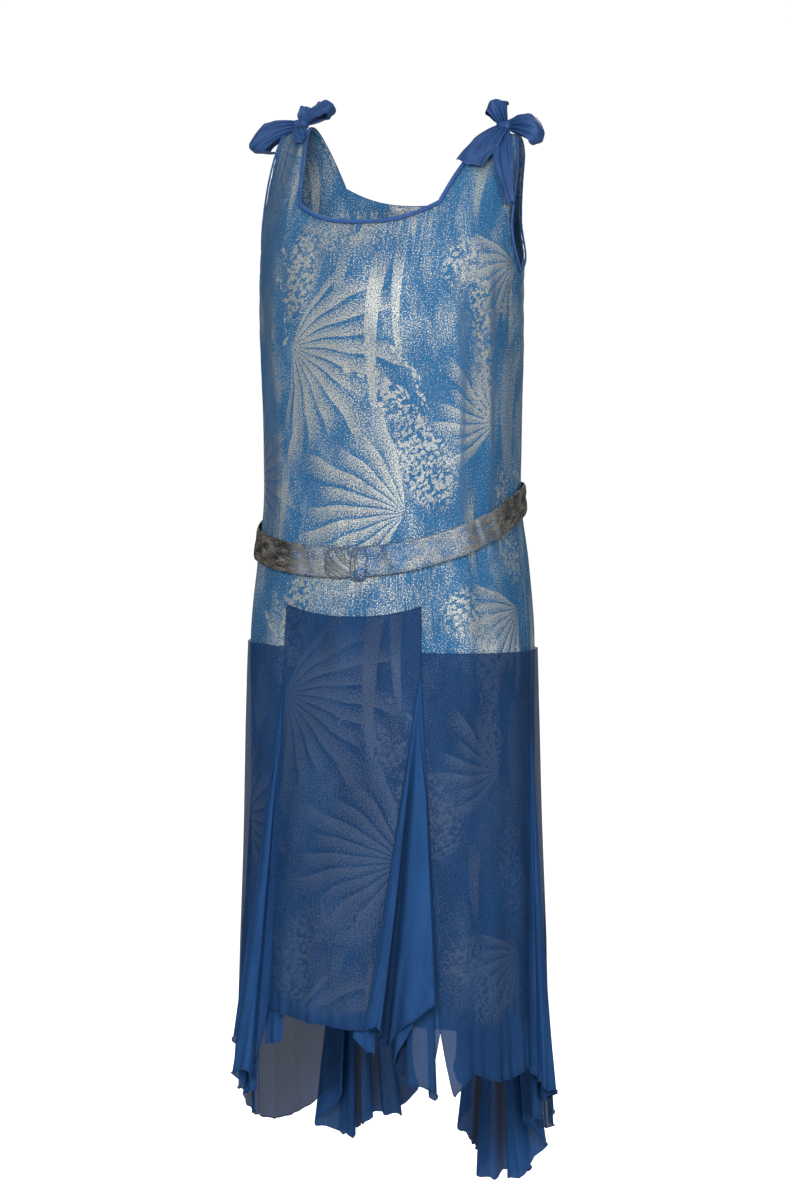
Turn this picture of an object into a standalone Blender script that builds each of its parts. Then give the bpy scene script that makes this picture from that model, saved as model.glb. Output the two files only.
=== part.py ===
"""A sleeveless dress of the late 1920s, worn, with no wearer: a straight metal-brocade tunic, a chiffon
overskirt let in at a stepped low seam, six godets, a dipping handkerchief hem, a sash belt and shoulder bows.

Metres, +Z up. The origin is midway between the shoulders, at the height where the straps lie on them. The
front faces -Y and the wearer's left is +X. Every piece is a wall of cloth worked out from one figure, the
shape that the worn cloth takes, so that what lies on a panel is that panel's own surface moved out.
"""

import math

import bmesh
import bpy
import numpy as np

# Walls and gaps.
BROCADE = 0.0012
CHIFFON = 0.0010
RIBBON = 0.0011
SASH = 0.0020
SEAM_GAP = 0.0003

# The tunic: heights of its edges, and the strap's edges at the shoulder.
TUNIC_HEM = -1.009
HEM_TILT = 0.100
NECK_CORNER_RISE = 0.0215
UNDERARM = -0.168
SECTION_POWER = 2.2

# The worn shape: half width, depth in front and behind, and how far back its middle lies, at each height.
FIGURE = {
    "height": (-1.26, -1.02, -0.80, -0.66, -0.58, -0.50, -0.44, -0.37, -0.30, -0.24, -0.19, -0.165,
               -0.13, -0.10, -0.075, -0.05, -0.03, -0.012, 0.0),
    "half_width": (0.1650, 0.1645, 0.1640, 0.1640, 0.1635, 0.1570, 0.1505, 0.1500, 0.1520, 0.1545, 0.1550, 0.1555,
                   0.1545, 0.1540, 0.1540, 0.1540, 0.1545, 0.1550, 0.1550),
    "front": (0.127, 0.127, 0.128, 0.129, 0.128, 0.120, 0.112, 0.111, 0.115, 0.121, 0.118, 0.112,
              0.102, 0.090, 0.077, 0.061, 0.046, 0.028, 0.0),
    "back": (0.112, 0.114, 0.117, 0.119, 0.120, 0.116, 0.104, 0.098, 0.098, 0.100, 0.102, 0.102,
             0.099, 0.093, 0.084, 0.069, 0.053, 0.032, 0.0),
    "middle": (0.0, 0.0, 0.0, 0.0, 0.0, 0.0, 0.0, 0.0, 0.0, 0.0, 0.0, 0.0,
               0.001, 0.004, 0.010, 0.018, 0.024, 0.028, 0.030),
}
SHOULDER_BACK = FIGURE["middle"][-1]

# Each panel's neckline, the foot of its strap, and the strap's edges measured from the centre line.
YOKES = {
    "front": {
        "neck": -0.1145, "foot": -0.115, "outer_column": 10,
        "height": (-0.115, -0.092, -0.080, -0.045, -0.020, 0.0),
        "inner": (0.0830, 0.0835, 0.0870, 0.0970, 0.1040, 0.1090),
        "outer": (0.1518, 0.1518, 0.1518, 0.1505, 0.1480, 0.1430),
    },
    "back": {
        "neck": -0.088, "foot": -0.110, "outer_column": 9,
        "height": (-0.110, -0.085, -0.066, -0.045, -0.020, 0.0),
        "inner": (0.0830, 0.0850, 0.0890, 0.0960, 0.1040, 0.1090),
        "outer": (0.1390, 0.1390, 0.1400, 0.1420, 0.1440, 0.1430),
    },
}
SHOULDER_SLOPE = 0.16
LEFT_SHOULDER_DROP = 0.009
GATHER_HEIGHT = 0.0010
SHOULDER_GAP = 0.0007

# Soft upright folds of the brocade: where each lies, how wide it is, how proud, and between which heights.
TUNIC_FOLDS = {
    "angle": (-58.0, -36.0, 20.0, 47.0, 64.0, 112.0, 140.0, 176.0, 214.0, 246.0),
    "width": (9.0, 8.0, 10.0, 7.0, 8.0, 10.0, 9.0, 12.0, 9.0, 10.0),
    "height": (0.0035, 0.0022, 0.0018, 0.0045, 0.0030, 0.0035, 0.0030, 0.0030, 0.0030, 0.0035),
    "low": (-1.02, -0.62, -0.80, -1.02, -0.56, -1.02, -0.75, -1.02, -0.80, -1.02),
    "high": (-0.22, -0.18, -0.30, -0.19, -0.20, -0.20, -0.16, -0.30, -0.16, -0.20),
}

# The overskirt's top edge, and how far the chiffon stands off the tunic at each height.
CENTRE_TOP = -0.545
CENTRE_TOP_DIP = 0.012
SIDE_TOP = -0.5945
SIDE_TOP_TILT = 0.024
EASE = {
    "height": (-1.26, -1.10, -1.00, -0.85, -0.72, -0.64, -0.59, -0.54),
    "front": (0.0140, 0.0120, 0.0095, 0.0070, 0.0052, 0.0038, 0.0024, 0.0008),
    "back": (0.0260, 0.0200, 0.0150, 0.0095, 0.0058, 0.0040, 0.0026, 0.0008),
}

# Panels of the overskirt, going round from the centre front by the wearer's left. Angles are those of each
# edge at the seam and at the hem, and the hem's height is given at the first edge, the middle and the last.
PANELS = {
    "name": ("front", "left_front", "left_back", "back", "right_back", "right_front"),
    "from_seam": (-28.5, 26.5, 90.0, 151.0, 209.0, 270.0),
    "to_seam": (26.5, 90.0, 151.0, 209.0, 270.0, 331.5),
    "from_hem": (-37.0, 35.0, 101.0, 174.0, 215.0, 281.0),
    "to_hem": (3.0, 82.0, 140.0, 187.0, 261.0, 300.0),
    "hem_from": (-1.002, -1.022, -1.115, -1.050, -1.128, -1.092),
    "hem_middle": (-1.013, -1.088, -1.158, -1.038, -1.152, -1.076),
    "hem_to": (-1.019, -1.076, -1.150, -1.050, -1.146, -1.045),
    "waves": (3.0, 3.0, 4.0, 4.0, 4.0, 3.0),
    "wave_height": (0.0022, 0.0030, 0.0060, 0.0050, 0.0060, 0.0035),
}
WAVE_START = -0.66
GODET_REACH = -1.06

# Godets: the apex, how proud the flutes stand at the reach, how far they lean along the skirt, the share of
# each flute in the width, and the hem's height at the first edge, at three places between and at the last.
GODETS = {
    "name": ("front_left", "left_side", "back_left", "back_right", "right_side", "front_right"),
    "apex": (-0.612, -0.645, -0.640, -0.640, -0.645, -0.632),
    "rise": (0.029, 0.016, 0.032, 0.032, 0.011, 0.024),
    "lean": (-0.30, 0.15, -0.15, 0.15, -0.20, -0.25),
    "flutes": ((1.0, 1.35, 0.8), (0.9, 1.2, 0.9), (1.0, 1.2, 1.0, 0.8), (0.8, 1.2, 1.0, 1.0), (0.9, 1.2, 0.9),
               (1.0, 1.3, 0.8)),
    "hem": ((-1.019, -1.034, -1.062, -1.090, -1.022), (-1.076, -1.098, -1.108, -1.112, -1.115),
            (-1.150, -1.205, -1.232, -1.215, -1.050), (-1.050, -1.165, -1.186, -1.193, -1.128),
            (-1.146, -1.126, -1.108, -1.100, -1.092), (-1.045, -1.078, -1.096, -1.080, -1.002)),
}
FLUTE_SWING = 1.90
GODET_MARGIN = 0.0022

# The sash belt: its width, how it dips in front and climbs to the wearer's left, and where its ends meet.
BELT_WIDTH = 0.034
BELT_MIDDLE = -0.4598
BELT_DIP = 0.0280
BELT_CLIMB = 0.0155
BELT_SADDLE = (-0.0083, -0.0040)
BELT_STANDOFF = 0.0023
BELT_START = 4.0

# What lies on the belt in front: its crossed end and the band round both. Each runs between two distances
# from the centre line, with its half height and how proud its middle stands.
BELT_PADS = {
    "name": ("belt_end", "belt_band"),
    "from": (-0.0320, 0.0005),
    "to": (-0.0032, 0.0175),
    "half_height": (0.0175, 0.0200),
    "proud": (0.0045, 0.0035),
}

# Bindings of the neck and armholes.
NECK_BINDING = 0.0050
ARMHOLE_BINDING = 0.0034
BINDING_WALL = 0.0011
BINDING_GAP = 0.0008
SHOULDER_RISE = 0.0007

# Shoulder bows. A loop leaves the knot, swings out and comes back, and an end lies free. Side is 1 on the
# wearer's left. Each has its reach from the knot, its face, its width at the middle and at the end, and how
# deep the loop is or how far the end curls.
KNOT_HEIGHT = 0.0062
KNOT_REST = 0.0015
END_CLEAR = 0.0048
KNOT_SIZE = (0.0115, 0.0085, 0.0070)
BOWS = {
    "name": ("right_outer_loop", "right_inner_loop", "left_upper_loop", "left_outer_loop"),
    "side": (-1, -1, 1, 1),
    "reach": ((-0.0600, 0.0020, 0.0110), (0.0400, 0.0130, 0.0250), (-0.0160, 0.0040, 0.0340),
              (0.0520, -0.0060, 0.0100)),
    "face": ((-0.25, -0.70, 0.60), (0.30, -0.80, 0.50), (0.25, -0.95, 0.15), (-0.10, -0.90, 0.40)),
    "width": (0.0300, 0.0170, 0.0235, 0.0245),
    "depth": (0.0090, 0.0080, 0.0100, 0.0120),
    "droop": (0.0320, 0.0000, 0.0000, 0.0230),
}
ENDS = {
    "name": ("right_upper_end", "right_short_end", "left_wide_end", "left_hanging_end"),
    "side": (-1, -1, 1, 1),
    "from": ((0.1240, 0.0020), (0.1220, -0.0020), (0.1220, -0.0020), (0.1280, -0.0020)),
    "to": ((0.1160, 0.0260), (0.1080, -0.0190), (0.1060, -0.0500), (0.1475, -0.0860)),
    "width": (0.0170, 0.0130, 0.0260, 0.0215),
    "lift": (0.0110, 0.0060, 0.0050, 0.0055),
}

# Colours of the cloths: red, green, blue, roughness, metallic.
BROCADE_LOOK = (0.13, 0.34, 0.60, 0.45, 0.25)
CHIFFON_LOOK = (0.05, 0.13, 0.42, 0.75, 0.0)
RIBBON_LOOK = (0.06, 0.14, 0.45, 0.65, 0.0)
SASH_LOOK = (0.25, 0.35, 0.48, 0.45, 0.35)


def clear_scene():
    for old in list(bpy.data.objects):
        bpy.data.objects.remove(old, do_unlink=True)


def smooth_step(low, high, value):
    share = np.clip((value - low) / (high - low), 0.0, 1.0)
    return share * share * (3.0 - 2.0 * share)


def smooth_through(places, values, at):
    """A smooth curve through the values at rising places."""
    places = np.asarray(places, float)
    values = np.asarray(values, float)
    slopes = np.gradient(values, places)
    at = np.clip(at, places[0], places[-1])
    cell = np.clip(np.searchsorted(places, at, side="right") - 1, 0, len(places) - 2)
    span = places[cell + 1] - places[cell]
    share = (at - places[cell]) / span
    start = values[cell] * (1 + 2 * share) * (1 - share) ** 2
    end = values[cell + 1] * share**2 * (3 - 2 * share)
    bend = span * share * (1 - share) * (slopes[cell] * (1 - share) - slopes[cell + 1] * share)
    return start + end + bend


def figure_size(column, height):
    """A size of the worn shape. The square root of the depth below the shoulder keeps its top round."""
    below = -np.sqrt(-np.asarray(FIGURE["height"]))
    return smooth_through(below, FIGURE[column], -np.sqrt(np.maximum(-height, 0.0)))


def tunic_fold(angle, height):
    """How far the brocade stands proud of the figure in its soft upright folds."""
    proud = 0.0
    turns = np.degrees(angle)
    for where, width, rise, low, high in zip(*TUNIC_FOLDS.values()):
        away = (turns - where + 180.0) % 360.0 - 180.0
        length = smooth_step(low - 0.02, low + 0.10, height) * (1 - smooth_step(high - 0.10, high, height))
        proud = proud + rise * length * np.exp(-((away / width) ** 2))
    return proud


def worn_shape(angle, height):
    """A point of the tunic's outer face. Angle 0 is the centre front, and 90 degrees the wearer's left."""
    power = 2.0 / SECTION_POWER
    sine, cosine = math.sin(angle), math.cos(angle)
    half = figure_size("half_width", height)
    depth = figure_size("front" if cosine >= 0 else "back", height)
    proud = 1 + tunic_fold(angle, height) / half
    x = half * proud * math.copysign(abs(sine) ** power, sine)
    y = figure_size("middle", height) - depth * proud * math.copysign(abs(cosine) ** power, cosine)
    near_top = 1 - smooth_step(0.0, 0.07, -height)
    slope = SHOULDER_SLOPE * (abs(x) - YOKES["front"]["inner"][-1]) + LEFT_SHOULDER_DROP * smooth_step(0.0, 0.10, x)
    return np.array([x, y, height - slope * near_top])


def outward(angle, height):
    """The direction square to the worn shape, out of the figure."""
    step, drop = 0.02, 0.002
    high = min(height + drop, -1e-6)
    along = worn_shape(angle + step, height) - worn_shape(angle - step, height)
    rise = worn_shape(angle, high) - worn_shape(angle, high - 2 * drop)
    normal = np.cross(along, rise)
    normal = normal / np.linalg.norm(normal)
    upright = float(1 - smooth_step(0.0, 0.006, -height))
    normal = normal * (1 - upright) + np.array([0.0, 0.0, upright])
    return normal / np.linalg.norm(normal)


def figure_point(angle, height, out=0.0):
    """A point of the tunic's outer face, moved out by a distance."""
    point = worn_shape(angle, height)
    if out:
        point = point + outward(angle, height) * out
    return point


def add_material(name, look):
    red, green, blue, roughness, metallic = look
    material = bpy.data.materials.new(name)
    material.use_nodes = True
    shader = material.node_tree.nodes["Principled BSDF"]
    shader.inputs["Base Color"].default_value = (red, green, blue, 1.0)
    shader.inputs["Roughness"].default_value = roughness
    shader.inputs["Metallic"].default_value = metallic
    return material


def cloth_grids(name, grids, wall, side, material, closed=False):
    """One wall of cloth from grids of points that share their edges. Each grid is (columns, rows, place), and
    place gives the point at a share across and a share up. Side 1 thickens it outwards, and -1 inwards."""
    mesh = bmesh.new()
    for columns, rows, place in grids:
        made = bmesh.ops.create_grid(mesh, x_segments=columns, y_segments=rows, size=0.5)
        for point in made["verts"]:
            point.co = place(point.co.x + 0.5, point.co.y + 0.5)
    if closed or len(grids) > 1:
        bmesh.ops.remove_doubles(mesh, verts=mesh.verts, dist=0.00002)
    data = bpy.data.meshes.new(name)
    mesh.to_mesh(data)
    mesh.free()
    data.materials.append(material)
    piece = bpy.data.objects.new(name, data)
    bpy.context.scene.collection.objects.link(piece)
    thicken = piece.modifiers.new("wall", "SOLIDIFY")
    thicken.thickness = wall
    thicken.offset = side
    thicken.use_even_offset = True
    data.shade_smooth()
    return piece


def cloth(name, columns, rows, place, wall, side, material, closed=False):
    return cloth_grids(name, [(columns, rows, place)], wall, side, material, closed)


# The tunic.

SIDE_COLUMNS = 12
COLUMN_ANGLE = 90.0 / SIDE_COLUMNS
CORNER_COLUMN = 4
BODY_ROWS = 16
STRAP_ROWS = 5


def angle_of(x, height):
    """The section angle at which the front or back lies this far from the centre line."""
    half = figure_size("half_width", height)
    return math.asin(min(1.0, (x / half) ** (SECTION_POWER / 2.0)))


def strap_x(yoke, share, height):
    """How far from the centre line a strap's cloth lies, from its neck edge, 0, to its armhole edge, 1."""
    inner = smooth_through(yoke["height"], yoke["inner"], height)
    outer = smooth_through(yoke["height"], yoke["outer"], height)
    return inner + (outer - inner) * share


def yoke_point(column, yoke):
    """Where a column of the panel ends below the straps: its angle and height. Columns count from the centre
    line. They end at the neckline, at the foot of the strap, or at the armhole."""
    corner = yoke["neck"] + NECK_CORNER_RISE
    last = yoke["outer_column"]
    if column <= CORNER_COLUMN:
        share = column / CORNER_COLUMN
        height = yoke["neck"] + NECK_CORNER_RISE * share**2.6
        return angle_of(strap_x(yoke, 0, corner) * share, height), height
    if column <= last:
        share = (column - CORNER_COLUMN) / (last - CORNER_COLUMN)
        height = corner + (yoke["foot"] - corner) * share
        return angle_of(strap_x(yoke, share, height), height), height
    share = (column - last) / (SIDE_COLUMNS - last)
    outer = angle_of(strap_x(yoke, 1, yoke["foot"]), yoke["foot"])
    drop = math.sqrt(1.0 - (1.0 - share) ** 2) * 0.5 + share * 0.5
    height = yoke["foot"] + (UNDERARM - yoke["foot"]) * drop
    return outer + (math.pi / 2 - outer) * share, height


def turned(angle, back):
    return math.pi + angle if back else angle


def body_place(yoke, back):
    """The panel from its hem up to the neckline, the straps' feet and the armholes."""

    def place(across, up):
        column = (across - 0.5) * 2 * SIDE_COLUMNS
        top_angle, top = yoke_point(abs(column), yoke)
        low_angle = math.radians(abs(column) * COLUMN_ANGLE)
        sign = math.copysign(1.0, column)
        hem_x = figure_size("half_width", TUNIC_HEM) * math.sin(low_angle) * sign
        hem = TUNIC_HEM - HEM_TILT * (-hem_x if back else hem_x)
        height = hem + (top - hem) * up
        drift = float(smooth_step(-0.42, top, height))
        angle = low_angle + (top_angle - low_angle) * drift
        angle = min(angle, math.pi / 2 - SEAM_GAP / figure_size("front", height))
        return figure_point(turned(angle * sign, back), height)

    return place


def strap_place(yoke, back, side):
    """One strap, from its foot to the shoulder seam. Side is 1 on the panel's right as seen from outside."""

    def place(across, up):
        share = across if side > 0 else 1 - across
        column = CORNER_COLUMN + share * (yoke["outer_column"] - CORNER_COLUMN)
        foot = yoke_point(column, yoke)[1]
        height = foot * (1 - up) ** 1.7
        angle = angle_of(strap_x(yoke, share, height), height)
        inside = 1 if 0.02 < share < 0.98 else 0
        gather = GATHER_HEIGHT * inside * (-1) ** round(column) * smooth_step(-0.075, -0.02, height)
        point = figure_point(turned(angle * side, back), height, gather)
        if up > 1 - 1e-6:
            point[1] += SHOULDER_GAP * (1 if back else -1)
        return point

    return place


def tunic_panel(name, back, material):
    yoke = YOKES["back" if back else "front"]
    strap_columns = yoke["outer_column"] - CORNER_COLUMN
    grids = [(2 * SIDE_COLUMNS, BODY_ROWS, body_place(yoke, back))]
    for side in (-1, 1):
        grids.append((strap_columns, STRAP_ROWS, strap_place(yoke, back, side)))
    return cloth_grids(name, grids, BROCADE, -1, material)


def half_edge(yoke, back, armhole, rows, columns):
    """One half of an opening's edge, as (angle, height), from the shoulder down to the centre or the seam."""
    share = 1 if armhole else 0
    foot = yoke["foot"] if armhole else yoke["neck"] + NECK_CORNER_RISE
    edge = []
    for row in range(rows):
        height = foot * (row / rows) ** 1.7
        edge.append((angle_of(strap_x(yoke, share, height), height), height))
    last = SIDE_COLUMNS if armhole else 0
    first = yoke["outer_column"] if armhole else CORNER_COLUMN
    for step in range(columns + 1):
        edge.append(yoke_point(first + (last - first) * step / columns, yoke))
    return edge


def edge_strip(edge, width, over, end_gap=0.0):
    """A strip on the worn shape along an edge given as (angle, height). It runs from just past the edge to its
    width over the cloth, which lies on the left of the edge's direction. It rises a little at the shoulder."""
    path = np.array([worn_shape(angle, height) for angle, height in edge])
    tangents = np.gradient(path, axis=0)
    tangents /= np.linalg.norm(tangents, axis=1)[:, None]

    def place(across, up):
        index = min(int(round(across * (len(edge) - 1))), len(edge) - 1)
        normal = outward(*edge[index])
        inward = np.cross(normal, tangents[index])
        rise = BINDING_GAP + SHOULDER_RISE * (1 - smooth_step(0.0, 0.030, -edge[index][1]))
        point = path[index] + inward * (width * up - over) + normal * rise
        if edge[index][1] > -1e-6:
            point[1] += end_gap
        return point

    return place


def neck_binding(name, back, material):
    yoke = YOKES["back" if back else "front"]
    half = half_edge(yoke, back, False, 7, 6)
    edge = [(turned(-angle, back), height) for angle, height in half]
    edge += [(turned(angle, back), height) for angle, height in reversed(half[:-1])]
    edge.reverse()
    strip = edge_strip(edge, NECK_BINDING, 0.0008, SHOULDER_GAP * (1 if back else -1))
    return cloth(name, len(edge) - 1, 1, strip, BINDING_WALL, 1, material)


def armhole_binding(name, side, material):
    front = [(angle * side, height) for angle, height in half_edge(YOKES["front"], False, True, 6, 5)]
    back = [(math.pi - angle, height) for angle, height in half_edge(YOKES["back"], True, True, 6, 5)]
    back = [(angle if side > 0 else -angle, height) for angle, height in back]
    edge = front[:-1] + back[::-1]
    if side > 0:
        edge.reverse()
    return cloth(name, len(edge) - 1, 1, edge_strip(edge, ARMHOLE_BINDING, 0.0006), BINDING_WALL, 1, material)


# The overskirt.


def ease(angle, height):
    front = smooth_through(EASE["height"], EASE["front"], height)
    back = smooth_through(EASE["height"], EASE["back"], height)
    share = 0.5 - 0.5 * np.cos(angle)
    return front * (1 - share) + back * share


def skirt_point(angle, height, out=0.0):
    return figure_point(angle, height, ease(angle, height) + out)


def column_of(table, name):
    return {key: values[table["name"].index(name)] for key, values in table.items()}


def reach_share(height, apex):
    """0 at a godet's apex and 1 at the height where its sizes are given."""
    return (apex - height) / (apex - GODET_REACH)


def godets_beside(name):
    """The apexes of the godets let in at a panel's first edge and at its last. Each follows its panel."""
    order = PANELS["name"].index(name)
    return GODETS["apex"][order - 1], GODETS["apex"][order]


def edge_angle(seam, hem, apex, height):
    """A panel's edge: along the seam down to the apex, then parting to let the godet in."""
    share = np.maximum(reach_share(height, apex), 0.0)
    return math.radians(seam) + math.radians(hem - seam) * share


def top_height(panel, share):
    angle = panel["from_seam"] + (panel["to_seam"] - panel["from_seam"]) * share
    if panel["name"] in ("front", "back"):
        return CENTRE_TOP - CENTRE_TOP_DIP * (1 - (2 * share - 1) ** 2)
    return SIDE_TOP - SIDE_TOP_TILT * 0.166 * math.sin(math.radians(angle))


def hem_height(panel, share):
    return float(smooth_through((0.0, 0.5, 1.0), (panel["hem_from"], panel["hem_middle"], panel["hem_to"]), share))


def panel_place(name):
    panel = column_of(PANELS, name)
    from_apex, to_apex = godets_beside(name)

    def place(across, up):
        top = top_height(panel, across)
        hem = hem_height(panel, across)
        height = hem + (top - hem) * up
        first = edge_angle(panel["from_seam"], panel["from_hem"], from_apex, height)
        last = edge_angle(panel["to_seam"], panel["to_hem"], to_apex, height)
        inset = SEAM_GAP / 0.15
        angle = first + inset + (last - first - 2 * inset) * across
        grown = smooth_step(WAVE_START, GODET_REACH, height)
        wave = (0.5 - 0.5 * math.cos(2 * math.pi * panel["waves"] * across)) * (1 - (2 * across - 1) ** 6)
        return skirt_point(angle, height, panel["wave_height"] * wave * grown)

    return place


def flute_curve(shares, swing):
    """The godet's level section as a row of flutes: how far along, from 0 to 1, and how far out, in flute
    widths, at even steps of the cloth. Its direction swings as a sine, the shape that hanging cloth takes."""
    steps = 40
    along, out = [0.0], [0.0]
    for share in shares:
        for step in range(steps):
            turn = swing * math.sin(2 * math.pi * (step + 0.5) / steps)
            along.append(along[-1] + math.cos(turn) * share / steps)
            out.append(out[-1] + math.sin(turn) * share / steps)
    along = np.array(along) / along[-1]
    out = np.maximum(np.array(out), 0.0)
    return np.linspace(0.0, 1.0, len(along)), along, out / out.max()


def godet_columns(name):
    return 8 * len(column_of(GODETS, name)["flutes"]) + 2


def godet_place(name):
    godet = column_of(GODETS, name)
    order = GODETS["name"].index(name)
    before = column_of(PANELS, PANELS["name"][order])
    after = column_of(PANELS, PANELS["name"][(order + 1) % 6])
    seam = before["to_seam"]
    after_hem = after["from_hem"] + (360.0 if after["from_hem"] < before["to_hem"] else 0.0)
    cloth_share, along, out = flute_curve(godet["flutes"], FLUTE_SWING)
    top = godet["apex"] - 0.026
    columns = godet_columns(name)

    def place(across, up):
        hem = float(smooth_through((0.0, 0.25, 0.5, 0.75, 1.0), godet["hem"], across))
        height = hem + (top - hem) * up
        share = reach_share(height, godet["apex"])
        first = edge_angle(seam, before["to_hem"], godet["apex"], height)
        last = edge_angle(seam, after_hem, godet["apex"], height)
        inset = SEAM_GAP / 0.15
        margin = min(GODET_MARGIN / 0.15, 0.2 * (last - first - 2 * inset))
        if across * columns < 1:
            angle = first + inset + margin * across * columns
            return skirt_point(angle, height)
        if (1 - across) * columns < 1:
            angle = last - inset - margin * (1 - across) * columns
            return skirt_point(angle, height)
        inner = (across * columns - 1) / (columns - 2)
        grown = float(smooth_step(0.03, 0.35, share)) * share
        rise = godet["rise"] * grown * np.interp(inner, cloth_share, out)
        straight = 1 - float(smooth_step(0.02, 0.30, share))
        place_along = np.interp(inner, cloth_share, along) * (1 - straight) + inner * straight
        angle = first + inset + margin + (last - first - 2 * inset - 2 * margin) * place_along
        angle += godet["lean"] * rise / 0.15
        return skirt_point(angle, height, rise)

    return place


# The belt, the bindings and the bows.


def belt_height(angle):
    saddle = BELT_SADDLE[0] * math.cos(2 * angle) + BELT_SADDLE[1] * math.sin(2 * angle)
    return BELT_MIDDLE - BELT_DIP * math.cos(angle) + BELT_CLIMB * math.sin(angle) + saddle


def belt_place(across, up):
    inset = SEAM_GAP / 0.1
    angle = math.radians(BELT_START) + inset + (2 * math.pi - 2 * inset) * across
    height = belt_height(angle) + (up - 0.5) * BELT_WIDTH
    return figure_point(angle, height, BELT_STANDOFF)


def belt_pad_place(name):
    """Sash cloth over the belt: a soft pad with its edges turned back to the belt."""
    pad = column_of(BELT_PADS, name)

    def place(across, up):
        x = pad["from"] + (pad["to"] - pad["from"]) * across
        angle = math.copysign(angle_of(abs(x), BELT_MIDDLE - BELT_DIP), x)
        height = belt_height(angle) + (up - 0.5) * 2 * pad["half_height"]
        edge = (1 - (2 * across - 1) ** 4) * (1 - (2 * up - 1) ** 4)
        return figure_point(angle, height, BELT_STANDOFF + SASH + SEAM_GAP + pad["proud"] * edge)

    return place


def unit(vector):
    vector = np.asarray(vector, float)
    return vector / np.linalg.norm(vector)


def knot_centre(side):
    point = figure_point(angle_of(0.126, 0.0) * side, 0.0)
    point[1] = SHOULDER_BACK
    point[2] += KNOT_REST + KNOT_HEIGHT
    return point


def knot(name, side, material):
    """The tied knot: a pad of ribbon, squeezed round its middle."""
    centre = knot_centre(side)
    mesh = bmesh.new()
    bmesh.ops.create_uvsphere(mesh, u_segments=12, v_segments=8, radius=1.0)
    for point in mesh.verts:
        squeeze = 1 - 0.18 * math.exp(-((point.co.x / 0.35) ** 2))
        point.co.x = centre[0] + KNOT_SIZE[0] * point.co.x
        point.co.y = centre[1] + KNOT_SIZE[1] * point.co.y * squeeze
        point.co.z = centre[2] + KNOT_SIZE[2] * point.co.z * squeeze
    data = bpy.data.meshes.new(name)
    mesh.to_mesh(data)
    mesh.free()
    data.materials.append(material)
    data.shade_smooth()
    piece = bpy.data.objects.new(name, data)
    bpy.context.scene.collection.objects.link(piece)
    return piece


def tied_bow(name, side, material):
    """One ribbon, tied: the knot with its loops and ends joined to it."""
    bow = knot(name, side, material)
    parts = []
    for table, columns, rows, place in ((BOWS, 2, 12, loop_place), (ENDS, 4, 7, end_place)):
        for index, part_name in enumerate(table["name"]):
            if table["side"][index] == side:
                parts.append(cloth(part_name, columns, rows, place(part_name), RIBBON, 0, material))
    for part in parts:
        part.hide_render = True
        part.display_type = "WIRE"
        join = bow.modifiers.new("join " + part.name, "BOOLEAN")
        join.operation = "UNION"
        join.solver = "EXACT"
        join.object = part
    return bow


def loop_place(name):
    loop = column_of(BOWS, name)
    centre = knot_centre(loop["side"])
    reach = np.array(loop["reach"])
    length = np.linalg.norm(reach)
    ahead = unit(reach)
    across_dir = unit(np.cross(np.array(loop["face"]), ahead))
    face = np.cross(ahead, across_dir)
    face *= math.copysign(1.0, float(face @ np.array(loop["face"])))
    start = 0.022

    def place(across, up):
        turn = math.pi * (start + (1 - 2 * start) * up)
        far = math.sin(turn)
        lift = loop["depth"] * math.sin(2 * turn) * 0.5
        wide = loop["width"] * (0.30 + 0.70 * math.sin(math.pi * up) ** 0.7)
        bow = 0.12 * loop["width"] * (1 - (2 * across - 1) ** 2) * math.sin(math.pi * up)
        bow *= math.copysign(1.0, 0.5 - up)
        side = across_dir * (across - 0.5) * wide
        point = centre + ahead * length * far + face * (lift + bow) + side
        point[2] -= loop["droop"] * far * far
        return point

    return place


def end_place(name):
    """A bow's free end. It leaves the knot and lies over the strap, lifted clear of the binding."""
    end = column_of(ENDS, name)
    side = end["side"]
    start = knot_centre(side)

    def middle(share):
        x = end["from"][0] + (end["to"][0] - end["from"][0]) * share
        height = end["from"][1] + (end["to"][1] - end["from"][1]) * share
        if end["to"][1] > 0:
            point = start + np.array([(x - end["from"][0]) * side, 0.35 * height, height])
            return point, unit((0.0, -0.8, 0.5))
        angle = angle_of(x, min(height, -0.0005)) * side
        normal = outward(angle, min(height, -0.0005))
        laid = worn_shape(angle, height) + normal * (END_CLEAR + end["lift"] * (1 - share) ** 2)
        settled = float(smooth_step(0.0, 0.40, share))
        return start * (1 - settled) + laid * settled, normal

    def place(across, up):
        point, normal = middle(up)
        ahead = min(up + 0.02, 1.0)
        tangent = unit(middle(ahead)[0] - middle(ahead - 0.04 if ahead > 0.04 else 0.0)[0])
        sideways = unit(np.cross(tangent, normal))
        normal = np.cross(sideways, tangent)
        wide = end["width"] * (0.30 + 0.70 * float(smooth_step(0.0, 0.60, up)))
        ripple = 0.0012 * math.cos(2 * math.pi * across) * up
        return point + sideways * (across - 0.5) * wide + normal * ripple

    return place


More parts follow.
